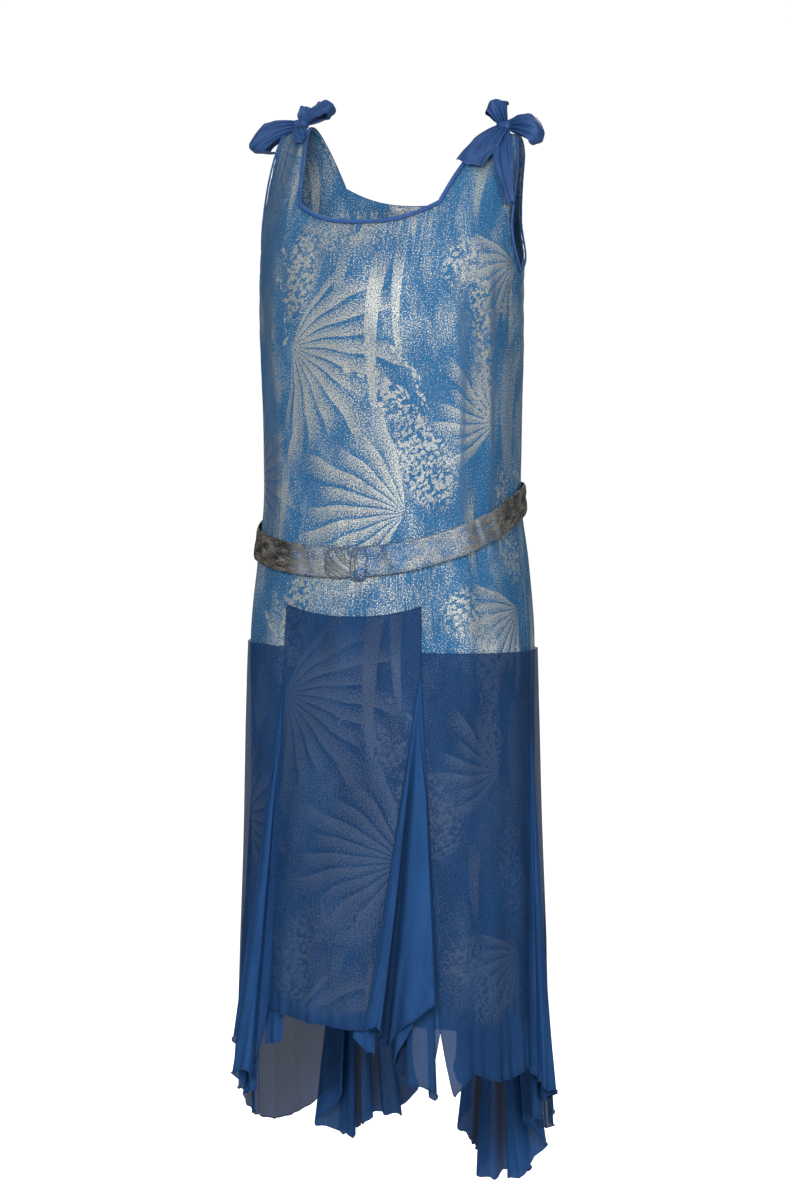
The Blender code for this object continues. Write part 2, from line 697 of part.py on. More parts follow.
def build_dress():
    clear_scene()
    brocade = add_material("brocade", BROCADE_LOOK)
    chiffon = add_material("chiffon", CHIFFON_LOOK)
    ribbon = add_material("ribbon", RIBBON_LOOK)
    sash = add_material("sash", SASH_LOOK)
    tunic_panel("tunic_front", False, brocade)
    tunic_panel("tunic_back", True, brocade)
    neck_binding("neck_binding_front", False, ribbon)
    neck_binding("neck_binding_back", True, ribbon)
    armhole_binding("armhole_binding_left", 1, ribbon)
    armhole_binding("armhole_binding_right", -1, ribbon)
    for name in PANELS["name"]:
        cloth("skirt_" + name, 8, 10, panel_place(name), CHIFFON, 1, chiffon)
    for name in GODETS["name"]:
        cloth("godet_" + name, godet_columns(name), 8, godet_place(name), CHIFFON, 1, chiffon)
    cloth("belt", 44, 2, belt_place, SASH, 1, sash)
    for name in BELT_PADS["name"]:
        cloth(name, 6, 6, belt_pad_place(name), SASH, 1, sash)
    tied_bow("bow_left", 1, ribbon)
    tied_bow("bow_right", -1, ribbon)


build_dress()
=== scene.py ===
"""A sleeveless dress of the late 1920s, worn: a metal-brocade tunic, a chiffon overskirt with godets, a belt
and two bows.

Metres, +Z up. The front faces -Y, the wearer's left is +X, and height 0 is where the straps lie on the
shoulders. The cloths are worked out from the same worn shape as the solids, with their folds, hems and
sewing added. Each carries the attribute "cloth": metres across the cloth and up it, and a share that is
painted shade in the brocade (bands along its folds and sides, and the straps), tarnished cloth with painted
shade in its creases in the belt, and density in the chiffon, where it also darkens the colour as painted
shade.
"""

import math

import bmesh
import bpy
import numpy as np
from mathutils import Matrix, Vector


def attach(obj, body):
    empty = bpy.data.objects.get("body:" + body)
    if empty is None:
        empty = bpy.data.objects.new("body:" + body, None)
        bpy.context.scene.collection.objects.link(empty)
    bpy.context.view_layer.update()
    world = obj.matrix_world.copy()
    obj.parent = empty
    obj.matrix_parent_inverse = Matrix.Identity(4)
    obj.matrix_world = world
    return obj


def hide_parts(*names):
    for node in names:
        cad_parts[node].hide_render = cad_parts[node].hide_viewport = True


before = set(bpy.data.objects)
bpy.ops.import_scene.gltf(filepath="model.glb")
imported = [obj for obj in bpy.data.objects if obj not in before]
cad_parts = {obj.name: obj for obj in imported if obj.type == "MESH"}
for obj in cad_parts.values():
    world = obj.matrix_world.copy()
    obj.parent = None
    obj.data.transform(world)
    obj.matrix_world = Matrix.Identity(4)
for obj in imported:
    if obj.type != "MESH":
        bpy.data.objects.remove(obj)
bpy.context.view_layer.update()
root = "root"

# The worn shape and the cut of the tunic, overskirt and belt, as in the solids.
TUNIC_HEM = -1.009
HEM_TILT = 0.100
NECK_CORNER_RISE = 0.0215
UNDERARM = -0.168
SECTION_POWER = 2.2
FIGURE = {
    "height": (-1.26, -1.02, -0.80, -0.66, -0.58, -0.50, -0.44, -0.37, -0.30, -0.24, -0.19, -0.165,
               -0.13, -0.10, -0.075, -0.05, -0.03, -0.012, 0.0),
    "half_width": (0.1650, 0.1645, 0.1640, 0.1640, 0.1635, 0.1570, 0.1505, 0.1500, 0.1520, 0.1545, 0.1550,
                   0.1555, 0.1545, 0.1540, 0.1540, 0.1540, 0.1545, 0.1550, 0.1550),
    "front": (0.127, 0.127, 0.128, 0.129, 0.128, 0.120, 0.112, 0.111, 0.115, 0.121, 0.118, 0.112,
              0.102, 0.090, 0.077, 0.061, 0.046, 0.028, 0.0),
    "back": (0.112, 0.114, 0.117, 0.119, 0.120, 0.116, 0.104, 0.098, 0.098, 0.100, 0.102, 0.102,
             0.099, 0.093, 0.084, 0.069, 0.053, 0.032, 0.0),
    "middle": (0.0, 0.0, 0.0, 0.0, 0.0, 0.0, 0.0, 0.0, 0.0, 0.0, 0.0, 0.0,
               0.001, 0.004, 0.010, 0.018, 0.024, 0.028, 0.030),
}
SHOULDER_BACK = FIGURE["middle"][-1]
YOKES = {
    "front": {
        "neck": -0.1145, "foot": -0.115, "outer_column": 10,
        "height": (-0.115, -0.092, -0.080, -0.045, -0.020, 0.0),
        "inner": (0.0830, 0.0835, 0.0870, 0.0970, 0.1040, 0.1090),
        "outer": (0.1518, 0.1518, 0.1518, 0.1505, 0.1480, 0.1430),
    },
    "back": {
        "neck": -0.088, "foot": -0.110, "outer_column": 9,
        "height": (-0.110, -0.085, -0.066, -0.045, -0.020, 0.0),
        "inner": (0.0830, 0.0850, 0.0890, 0.0960, 0.1040, 0.1090),
        "outer": (0.1390, 0.1390, 0.1400, 0.1420, 0.1440, 0.1430),
    },
}
SHOULDER_SLOPE = 0.16
LEFT_SHOULDER_DROP = 0.009
SHOULDER_GAP = 0.0007
TUNIC_FOLDS = {
    "angle": (-58.0, -36.0, 20.0, 47.0, 64.0, 112.0, 140.0, 176.0, 214.0, 246.0),
    "width": (9.0, 8.0, 10.0, 7.0, 8.0, 10.0, 9.0, 12.0, 9.0, 10.0),
    "height": (0.0035, 0.0022, 0.0018, 0.0045, 0.0030, 0.0035, 0.0030, 0.0030, 0.0030, 0.0035),
    "low": (-1.02, -0.62, -0.80, -1.02, -0.56, -1.02, -0.75, -1.02, -0.80, -1.02),
    "high": (-0.22, -0.18, -0.30, -0.19, -0.20, -0.20, -0.16, -0.30, -0.16, -0.20),
}
CENTRE_TOP = -0.545
CENTRE_TOP_DIP = 0.012
SIDE_TOP = -0.5945
SIDE_TOP_TILT = 0.024
EASE = {
    "height": (-1.26, -1.10, -1.00, -0.85, -0.72, -0.64, -0.59, -0.54),
    "front": (0.0140, 0.0120, 0.0095, 0.0070, 0.0052, 0.0038, 0.0024, 0.0008),
    "back": (0.0260, 0.0200, 0.0150, 0.0095, 0.0058, 0.0040, 0.0026, 0.0008),
}
PANELS = {
    "name": ("front", "left_front", "left_back", "back", "right_back", "right_front"),
    "from_seam": (-28.5, 26.5, 90.0, 151.0, 209.0, 270.0),
    "to_seam": (26.5, 90.0, 151.0, 209.0, 270.0, 331.5),
    "from_hem": (-37.0, 35.0, 101.0, 174.0, 215.0, 281.0),
    "to_hem": (3.0, 82.0, 140.0, 187.0, 261.0, 300.0),
    "waves": (3.0, 3.0, 4.0, 4.0, 4.0, 3.0),
    "wave_height": (0.0022, 0.0030, 0.0060, 0.0050, 0.0060, 0.0035),
}
WAVE_START = -0.66
GODET_REACH = -1.06
GODETS = {
    "name": ("front_left", "left_side", "back_left", "back_right", "right_side", "front_right"),
    "apex": (-0.612, -0.645, -0.640, -0.640, -0.645, -0.632),
    "rise": (0.029, 0.016, 0.032, 0.032, 0.011, 0.024),
}
FLUTE_SWING = 1.90
SEAM_GAP = 0.0003
BELT_WIDTH = 0.034
BELT_MIDDLE = -0.4598
BELT_DIP = 0.0280
BELT_CLIMB = 0.0155
BELT_SADDLE = (-0.0083, -0.0040)
BELT_STANDOFF = 0.0023
BELT_START = 4.0
SIDE_COLUMNS = 12
COLUMN_ANGLE = 90.0 / SIDE_COLUMNS
CORNER_COLUMN = 4

# Cloth metres to a radian round the figure and round the belt, by which the patterns are laid out, and to a
# degree at the hem.
ROUND = 0.15
BELT_ROUND = 0.13
METRES_TO_A_DEGREE = 0.0026

# The overskirt's ripples: the cloth's width in which they run, and how far they stand out.
PANEL_WIDTH = 0.11
FLUTE_WIDTH = 0.11
PANEL_GATHER = 0.0009
PANEL_RIPPLE = 0.0017
GODET_RIPPLE = 0.0008
GODET_HEM_RIPPLE = 0.0024
UNDER_RIPPLE = 0.0016

# How the cloths are made: walls, the merging of straps with bodies, rolled hems, stitches, turned strips (how
# wide, and how far over the edge), seams, and the fineness of the tunic's grids.
BROCADE_WALL = 0.0006
RIBBON_WALL = 0.0004
STRAP_WELD = 0.00003
HEM_ROLL = 0.0008
HEM_ROLL_STEPS = 9
STITCH_SPACING = 0.0031
STITCH_LENGTH = 0.0021
STITCH_RADIUS = 0.00023
STITCH_LINE = 0.72
STRIP_PROUD = 0.0011
STRIP_UNDER = -0.0009
SEAM_CORD = 0.00050
JOIN_CORD = 0.00055
NECK_STRIP = (0.0050, 0.0008)
ARMHOLE_STRIP = (0.0034, 0.0006)
FINE_COLUMNS = 6
BODY_ROWS = 150
STRAP_ROWS = 34
STRAP_CROWD = 1.7


def smooth_step(low, high, value):
    share = np.clip((np.asarray(value, float) - low) / (high - low), 0.0, 1.0)
    return share * share * (3.0 - 2.0 * share)


def hump(value, width, power=2):
    return np.exp(-((value / width) ** power))


def near_hem(height, hem, reach):
    return np.exp(-np.maximum(height - hem, 0.0) / reach)


def degrees_from(where, angle):
    return (np.degrees(angle) - where + 180.0) % 360.0 - 180.0


def shares(count):
    """Even shares from 0 to 1."""
    return np.linspace(0.0, 1.0, count)


def smooth_through(places, values, at):
    """A smooth curve through the values at rising places."""
    places = np.asarray(places, float)
    values = np.asarray(values, float)
    slopes = np.gradient(values, places)
    at = np.clip(at, places[0], places[-1])
    cell = np.clip(np.searchsorted(places, at, side="right") - 1, 0, len(places) - 2)
    span = places[cell + 1] - places[cell]
    share = (at - places[cell]) / span
    start = values[cell] * (1 + 2 * share) * (1 - share) ** 2
    end = values[cell + 1] * share**2 * (3 - 2 * share)
    bend = span * share * (1 - share) * (slopes[cell] * (1 - share) - slopes[cell + 1] * share)
    return start + end + bend


def figure_size(column, height):
    below = -np.sqrt(-np.asarray(FIGURE["height"]))
    return smooth_through(below, FIGURE[column], -np.sqrt(np.maximum(-np.asarray(height, float), 0.0)))


def tunic_fold(angle, height):
    proud = 0.0
    for where, width, rise, low, high in zip(*TUNIC_FOLDS.values()):
        length = smooth_step(low - 0.02, low + 0.10, height) * (1 - smooth_step(high - 0.10, high, height))
        proud = proud + rise * length * hump(degrees_from(where, angle), width)
    return proud


def worn_shape(angle, height):
    """Points of the tunic's outer face. Angle 0 is the centre front, and 90 degrees the wearer's left."""
    angle, height = np.broadcast_arrays(np.asarray(angle, float), np.asarray(height, float))
    power = 2.0 / SECTION_POWER
    sine, cosine = np.sin(angle), np.cos(angle)
    half = figure_size("half_width", height)
    depth = np.where(cosine >= 0, figure_size("front", height), figure_size("back", height))
    proud = 1 + tunic_fold(angle, height) / half
    x = half * proud * np.sign(sine) * np.abs(sine) ** power
    y = figure_size("middle", height) - depth * proud * np.sign(cosine) * np.abs(cosine) ** power
    near_top = 1 - smooth_step(0.0, 0.07, -height)
    slope = SHOULDER_SLOPE * (np.abs(x) - YOKES["front"]["inner"][-1])
    slope = slope + LEFT_SHOULDER_DROP * smooth_step(0.0, 0.10, x)
    return np.stack([x, y, height - slope * near_top], -1)


def unit(vectors):
    vectors = np.asarray(vectors, float)
    return vectors / np.maximum(np.linalg.norm(vectors, axis=-1, keepdims=True), 1e-12)


def outward(angle, height):
    step, drop = 0.02, 0.002
    height = np.asarray(height, float)
    high = np.minimum(height + drop, -1e-6)
    along = worn_shape(angle + step, height) - worn_shape(angle - step, height)
    rise = worn_shape(angle, high) - worn_shape(angle, high - 2 * drop)
    normal = unit(np.cross(along, rise))
    upright = (1 - smooth_step(0.0, 0.006, -height))[..., None] * np.ones_like(normal)
    return unit(normal * (1 - upright) + np.array([0.0, 0.0, 1.0]) * upright)


def figure_point(angle, height, out=0.0):
    angle, height, out = np.broadcast_arrays(angle, height, out)
    return worn_shape(angle, height) + outward(angle, height) * out[..., None]


def ease(angle, height):
    front = smooth_through(EASE["height"], EASE["front"], height)
    back = smooth_through(EASE["height"], EASE["back"], height)
    share = 0.5 - 0.5 * np.cos(angle)
    return front * (1 - share) + back * share


def skirt_point(angle, height, out=0.0):
    return figure_point(angle, height, ease(angle, height) + out)


def ripples(place, *waves):
    """A sum of sines: (metres to a wave, size, phase)."""
    return sum(size * np.sin(2 * math.pi * place / length + phase) for length, size, phase in waves)


# Meshes.


def grid_faces(rows, columns, first, closed):
    across = columns if closed else columns - 1
    row, column = np.meshgrid(np.arange(rows - 1), np.arange(across), indexing="ij")
    start = first + row * columns + column
    after = first + row * columns + (column + 1) % columns
    return np.stack([start, after, after + columns, start + columns], -1).reshape(-1, 4)


def link(name, data):
    made = bpy.data.objects.new(name, data)
    bpy.context.scene.collection.objects.link(made)
    return made


def make_piece(name, material, grids, node=None, weld=0.0, wall=0.0, tube=False, flip=False):
    """One mesh from grids of points, (rows, columns, 3), each with its cloth places. A tube's columns run all
    the way round, and its ends are capped."""
    points, places, faces, first = [], [], [], 0
    for grid, cloth in grids:
        rows, columns = grid.shape[:2]
        made = grid_faces(rows, columns, first, tube)
        faces += [tuple(face) for face in (made[:, ::-1] if flip else made).tolist()]
        if tube:
            low = list(range(first, first + columns))
            high = list(range(first + (rows - 1) * columns, first + rows * columns))
            faces += [tuple(low if flip else low[::-1]), tuple(high[::-1] if flip else high)]
        points.append(grid.reshape(-1, 3))
        places.append(np.broadcast_to(cloth, grid.shape).reshape(-1, 3))
        first += rows * columns
    data = bpy.data.meshes.new(name)
    data.from_pydata(np.concatenate(points).tolist(), [], faces)
    attribute = data.attributes.new("cloth", "FLOAT_VECTOR", "POINT")
    attribute.data.foreach_set("vector", np.concatenate(places).astype(np.float32).ravel())
    if weld:
        mesh = bmesh.new()
        mesh.from_mesh(data)
        bmesh.ops.remove_doubles(mesh, verts=mesh.verts, dist=weld)
        mesh.to_mesh(data)
        mesh.free()
    data.materials.append(material)
    data.shade_smooth()
    piece = link(name, data)
    if wall:
        thicken = piece.modifiers.new("wall", "SOLIDIFY")
        thicken.thickness = wall
        thicken.offset = -1
    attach(piece, root)
    if node:
        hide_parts(node)
    return piece


def places_of(*parts):
    return np.stack(np.broadcast_arrays(*[np.asarray(part, float) for part in parts]), -1)


def share_grid(columns, rows, crowd=1.0):
    """Shares across and up a cloth, its rows crowded towards the hem."""
    across = shares(columns + 1)[None, :]
    return across, (shares(rows + 1) ** crowd)[:, None]


def run_along(path):
    return np.concatenate([[0.0], np.cumsum(np.linalg.norm(np.diff(path, axis=0), axis=1))])


def cord_grid(path, facing, radius, flat, sides):
    """A thin round of sewing along a path, with its cloth places."""
    ahead = unit(np.gradient(path, axis=0))
    across = unit(np.cross(facing, ahead))
    out = unit(np.cross(ahead, across))
    turn = np.linspace(0, 2 * math.pi, sides, endpoint=False)[:, None]
    grid = path[:, None] + across[:, None] * (radius * np.cos(turn))
    grid = grid + out[:, None] * (radius * flat * np.sin(turn))
    around = np.arange(sides) * radius
    return grid, places_of(around[None, :], run_along(path)[:, None], 0.0)


def stitch_grids(path, facing):
    """Short stitches along a path, each a small rounded bead that dips at its ends."""
    run = run_along(path)
    grids = []
    share = shares(5)
    for at in np.arange(STITCH_SPACING, run[-1] - STITCH_SPACING, STITCH_SPACING):
        where = at + (share - 0.5) * STITCH_LENGTH
        line = np.stack([np.interp(where, run, path[:, axis]) for axis in range(3)], -1)
        face = np.stack([np.interp(where, run, facing[:, axis]) for axis in range(3)], -1)
        line = line + unit(face) * (np.sin(math.pi * share) * STITCH_RADIUS * 0.9)[:, None]
        grids.append(cord_grid(line, unit(face), STITCH_RADIUS, 1.0, 5))
    return grids


# Materials, worked out as fields in their nodes.


class Field:
    """A value in a material's nodes, with arithmetic."""

    def __init__(self, tree, socket):
        self.tree = tree
        self.socket = socket

    def maths(self, operation, *others):
        node = self.tree.nodes.new("ShaderNodeMath")
        node.operation = operation
        for slot, value in zip(node.inputs, (self, *others)):
            plug(self.tree, slot, value)
        return Field(self.tree, node.outputs[0])

    def __add__(self, other):
        return self.maths("ADD", other)

    def __sub__(self, other):
        return self.maths("SUBTRACT", other)

    def __rsub__(self, other):
        return self.maths("MULTIPLY_ADD", -1.0, other)

    def __mul__(self, other):
        return self.maths("MULTIPLY", other)

    def __truediv__(self, other):
        return self.maths("DIVIDE", other)

    __rmul__ = __mul__

    def wrap(self, period):
        return self.maths("WRAP", period / 2, -period / 2)

    def step(self, low, high):
        """0 below low and 1 above high, or the other way round, smoothly."""
        node = self.tree.nodes.new("ShaderNodeMapRange")
        node.interpolation_type = "SMOOTHSTEP"
        self.tree.links.new(self.socket, node.inputs["Value"])
        falls = low > high
        node.inputs["From Min"].default_value = min(low, high)
        node.inputs["From Max"].default_value = max(low, high)
        node.inputs["To Min"].default_value = 1.0 if falls else 0.0
        node.inputs["To Max"].default_value = 0.0 if falls else 1.0
        return Field(self.tree, node.outputs["Result"])


def plug(tree, slot, value):
    """Feeds a node's slot from a field, or sets it to a number."""
    if isinstance(value, Field):
        tree.links.new(value.socket, slot)
    else:
        slot.default_value = value


def largest(fields):
    result = fields[0]
    for field in fields[1:]:
        result = result.maths("MAXIMUM", field)
    return result


class Cloth:
    """A material under construction: its shader, and the cloth's places in centimetres."""

    def __init__(self, name, **sockets):
        self.material = bpy.data.materials.new(name)
        self.material.use_nodes = True
        self.tree = self.material.node_tree
        self.shader = self.tree.nodes["Principled BSDF"]
        for socket, value in sockets.items():
            self.shader.inputs[socket.replace("_", " ")].default_value = value
        node = self.tree.nodes.new("ShaderNodeAttribute")
        node.attribute_name = "cloth"
        split = self.tree.nodes.new("ShaderNodeSeparateXYZ")
        self.tree.links.new(node.outputs["Vector"], split.inputs[0])
        self.across = Field(self.tree, split.outputs[0]) * 100.0
        self.up = Field(self.tree, split.outputs[1]) * 100.0
        self.extra = Field(self.tree, split.outputs[2])
        self.places = self.join(self.across, self.up)

    def join(self, across, up, third=0.0):
        node = self.tree.nodes.new("ShaderNodeCombineXYZ")
        for slot, value in zip(node.inputs, (across, up, third)):
            plug(self.tree, slot, value)
        return node.outputs[0]

    def texture(self, kind, vector, **settings):
        node = self.tree.nodes.new(kind)
        self.tree.links.new(vector, node.inputs["Vector"])
        for name, value in settings.items():
            node.inputs[name].default_value = value
        return node.outputs

    def noise(self, vector, scale, detail=2.0, roughness=0.5):
        made = self.texture("ShaderNodeTexNoise", vector, Scale=scale, Detail=detail, Roughness=roughness)
        return Field(self.tree, made[0])

    def cells(self, vector, scale):
        return Field(self.tree, self.texture("ShaderNodeTexVoronoi", vector, Scale=scale)["Distance"])

    def blend(self, share, low, high):
        node = self.tree.nodes.new("ShaderNodeMix")
        node.data_type = "RGBA"
        self.tree.links.new(share.socket, node.inputs["Factor"])
        for slot, value in ((node.inputs[6], low), (node.inputs[7], high)):
            if isinstance(value, tuple):
                slot.default_value = (*value, 1.0)
            else:
                self.tree.links.new(value, slot)
        return node.outputs[2]

    def set(self, socket, value):
        self.tree.links.new(value.socket if isinstance(value, Field) else value, self.shader.inputs[socket])

    def bump(self, height, strength, distance):
        node = self.tree.nodes.new("ShaderNodeBump")
        node.inputs["Strength"].default_value = strength
        node.inputs["Distance"].default_value = distance
        self.tree.links.new(height.socket, node.inputs["Height"])
        self.tree.links.new(node.outputs[0], self.shader.inputs["Normal"])


# The brocade's repeat, in centimetres, and its motifs: leaf fans, stalks, sprays of buds and beds of leaves.
# Each gives a density of metal thread, which the cloth's grain breaks into flecks.
REPEAT_ACROSS = 47.12
REPEAT_UP = 39.0
FANS = (
    # across, up, turn, half spread in degrees, reach, blades, curve
    (-7.6, -25.6, -14.0, 80.0, 13.5, 11, 0.016),
    (5.2, -44.2, 166.0, 74.0, 12.5, 10, -0.014),
    (17.5, -34.0, 172.0, 62.0, 9.5, 8, 0.020),
    (-18.5, -41.0, 24.0, 66.0, 10.5, 9, 0.018),
    (21.5, -16.0, -150.0, 60.0, 10.0, 8, -0.015),
)
STALKS = (
    # across, lowest, highest, width, lean, density
    (1.6, -35.5, -13.5, 1.35, 0.030, 0.95),
    (4.3, -30.0, -13.0, 1.05, -0.030, 0.88),
    (-1.5, -24.0, -12.0, 1.2, 0.090, 0.62),
    (-4.2, -22.0, -12.0, 1.1, 0.160, 0.55),
    (-9.9, -52.0, -37.0, 1.2, 0.040, 0.80),
    (13.2, -53.0, -39.5, 1.5, -0.020, 0.72),
    (-21.0, -31.0, -12.0, 1.5, 0.020, 0.75),
    (7.6, -22.0, -12.0, 1.3, -0.090, 0.50),
    (20.8, -43.0, -23.0, 3.4, 0.010, 0.58),
)
SPRAYS = (
    # across and up of the arc's middle, its radius, from and to turn in degrees, half width
    (-1.0, -36.5, 8.2, 8.0, 92.0, 0.42),
    (1.2, -39.4, 7.2, 0.0, 86.0, 0.40),
    (-1.5, -33.0, 8.9, 4.0, 60.0, 0.36),
    (22.5, -28.5, 8.2, 92.0, 172.0, 0.42),
    (-14.5, -19.5, 6.6, -36.0, 50.0, 0.40),
    (-15.5, -23.0, 7.2, -20.0, 62.0, 0.38),
    (-23.5, -47.5, 7.6, 14.0, 96.0, 0.40),
)
BEDS = (
    # across, up, half width, half height, turn in degrees, density
    (7.6, -38.5, 3.8, 6.0, 24.0, 0.92),
    (3.2, -31.5, 2.0, 3.2, 40.0, 0.86),
    (15.4, -22.0, 2.1, 7.5, 6.0, 0.90),
    (-6.4, -17.0, 2.4, 6.0, -8.0, 0.92),
    (-12.6, -47.0, 2.8, 4.6, -20.0, 0.45),
    (19.6, -43.0, 2.6, 5.0, -8.0, 0.66),
    (-1.5, -51.5, 5.0, 2.6, 8.0, 0.62),
    (-20.0, -22.5, 2.2, 5.6, -10.0, 0.66),
    (20.5, -47.5, 3.0, 5.2, 20.0, 0.70),
    (15.8, -30.5, 2.2, 4.6, 0.0, 0.80),
    (12.4, -55.3, 3.4, 3.2, 10.0, 0.84),
)


# Colours of the silks and metals, from low to high.
BROCADE_BLUES = ((0.009, 0.098, 0.235), (0.020, 0.135, 0.295))
BROCADE_SILVERS = ((0.170, 0.215, 0.250), (0.690, 0.675, 0.585))
CLOUDED_SILVER = (0.130, 0.185, 0.240)
# Painted light: the silver made lighter where the overskirt covers it, against the shade the chiffon casts.
SILVER_LIT_UNDER_SKIRT = (0.92, 0.97, 1.00)
# The darker blues of the painted shade bands and of the random tarnish.
TARNISH_AND_SHADE_BLUES = ((0.008, 0.067, 0.165), (0.068, 0.138, 0.255))
CHIFFON_BLUES = ((0.0075, 0.040, 0.128), (0.0125, 0.059, 0.176))
RIBBON_BLUES = ((0.018, 0.062, 0.195), (0.030, 0.092, 0.262))
SASH_BLUES = ((0.010, 0.080, 0.215), (0.030, 0.120, 0.275))
SASH_SILVERS = ((0.100, 0.140, 0.180), (0.470, 0.455, 0.380))
SASH_BROWNS = ((0.011, 0.012, 0.015), (0.215, 0.200, 0.175))
# Noises of the cloths' flecks and grain: scale, detail, roughness.
FLECKS = (6.6, 1.8, 0.65)
GRAIN = (9.5, 1.0, 0.6)
SASH_FLECKS = (7.0, 1.5, 0.6)
SASH_GRAIN = (12.0, 1.0, 0.6)
CHIFFON_GRAIN = (22.0, 2.0, 0.6)
RIBBON_GRAIN = (20.0, 2.0, 0.6)
# Turns of a thread's wave, in radians to a centimetre.
TWILL = 62.0
CHIFFON_THREADS = 75.0


# Colours scaled lighter or darker: painted light and shade.
def lit(colours, factor):
    return [tuple(part * factor for part in colour) for colour in colours]


def turned_places(cloth, across, up, turn):
    """The cloth's places about a motif's middle, turned to it, within one repeat."""
    aside = (cloth.across - across).wrap(REPEAT_ACROSS)
    above = (cloth.up - up).wrap(REPEAT_UP)
    cosine, sine = math.cos(math.radians(turn)), math.sin(math.radians(turn))
    return aside * cosine + above * sine, above * cosine - aside * sine


def fan_field(cloth, across, up, turn, spread, reach, blades, curve):
    """Blades from one root, each thick along one edge and thin along the other, with bare cloth between."""
    along, aside = turned_places(cloth, across, up, turn)
    radius = (along * along + aside * aside).maths("SQRT")
    bearing = aside.maths("ARCTAN2", along) + radius * curve + (radius * 1.3 + across).maths("SINE") * 0.012
    pitch = 2 * math.radians(spread) / blades
    phase = bearing / pitch
    within = phase.maths("FRACT")
    order = phase.maths("FLOOR")
    length = (order * 2.3).maths("SINE") * (0.17 * reach) + reach
    share = radius / length
    gap = (0.055 / pitch) * (share * 1.6 + 0.9) / (radius + 0.5) + share * share * 0.10
    body = (within - gap).step(-0.03, 0.05) * (within + gap).step(1.02, 0.93)
    inside = bearing.maths("ABSOLUTE").step(math.radians(spread) + 0.03, math.radians(spread) - 0.03)
    shade = 1.20 - within * 0.60 - share * 0.42
    return body * inside * share.step(1.04, 0.72) * shade


def stalk_field(cloth, streak, across, low, high, width, lean, density):
    """A long blade with torn ends, widest near its top."""
    middle = 0.5 * (low + high)
    aside = (cloth.across - across).wrap(REPEAT_ACROSS)
    above = (cloth.up - middle).wrap(REPEAT_UP)
    half = 0.5 * (high - low)
    bent = above * lean + (above / half) * (above / half) * (0.6 * width)
    aside = (aside - bent).maths("ABSOLUTE")
    wide = (above * (0.26 * width / half) + 0.50 * width) - aside
    torn = above.maths("ABSOLUTE") + (streak - 0.5) * 9.0
    drawn = streak.step(0.25, 0.62) * 0.40 + 0.66
    return wide.step(-0.14, 0.18) * torn.step(half, half - 5.0) * drawn * density


def spray_field(cloth, buds, across, up, radius, start, stop, wide):
    """A curved row of buds."""
    aside, above = turned_places(cloth, across, up, 0.5 * (start + stop))
    away = (aside * aside + above * above).maths("SQRT")
    half = math.radians(0.5 * (stop - start))
    bearing = above.maths("ARCTAN2", aside)
    near = (away - radius + (bearing * 17.0).maths("SINE") * 0.16).maths("ABSOLUTE")
    within = bearing.maths("ABSOLUTE").step(half + 0.03, half - 0.03)
    return near.step(wide + 0.12, wide - 0.12) * within * buds


def bed_field(cloth, leaves, across, up, half_width, half_height, turn, density):
    aside, above = turned_places(cloth, across, up, turn)
    wide = aside / half_width
    tall = above / half_height
    return (wide * wide + tall * tall).step(1.45, 0.25) * leaves * density


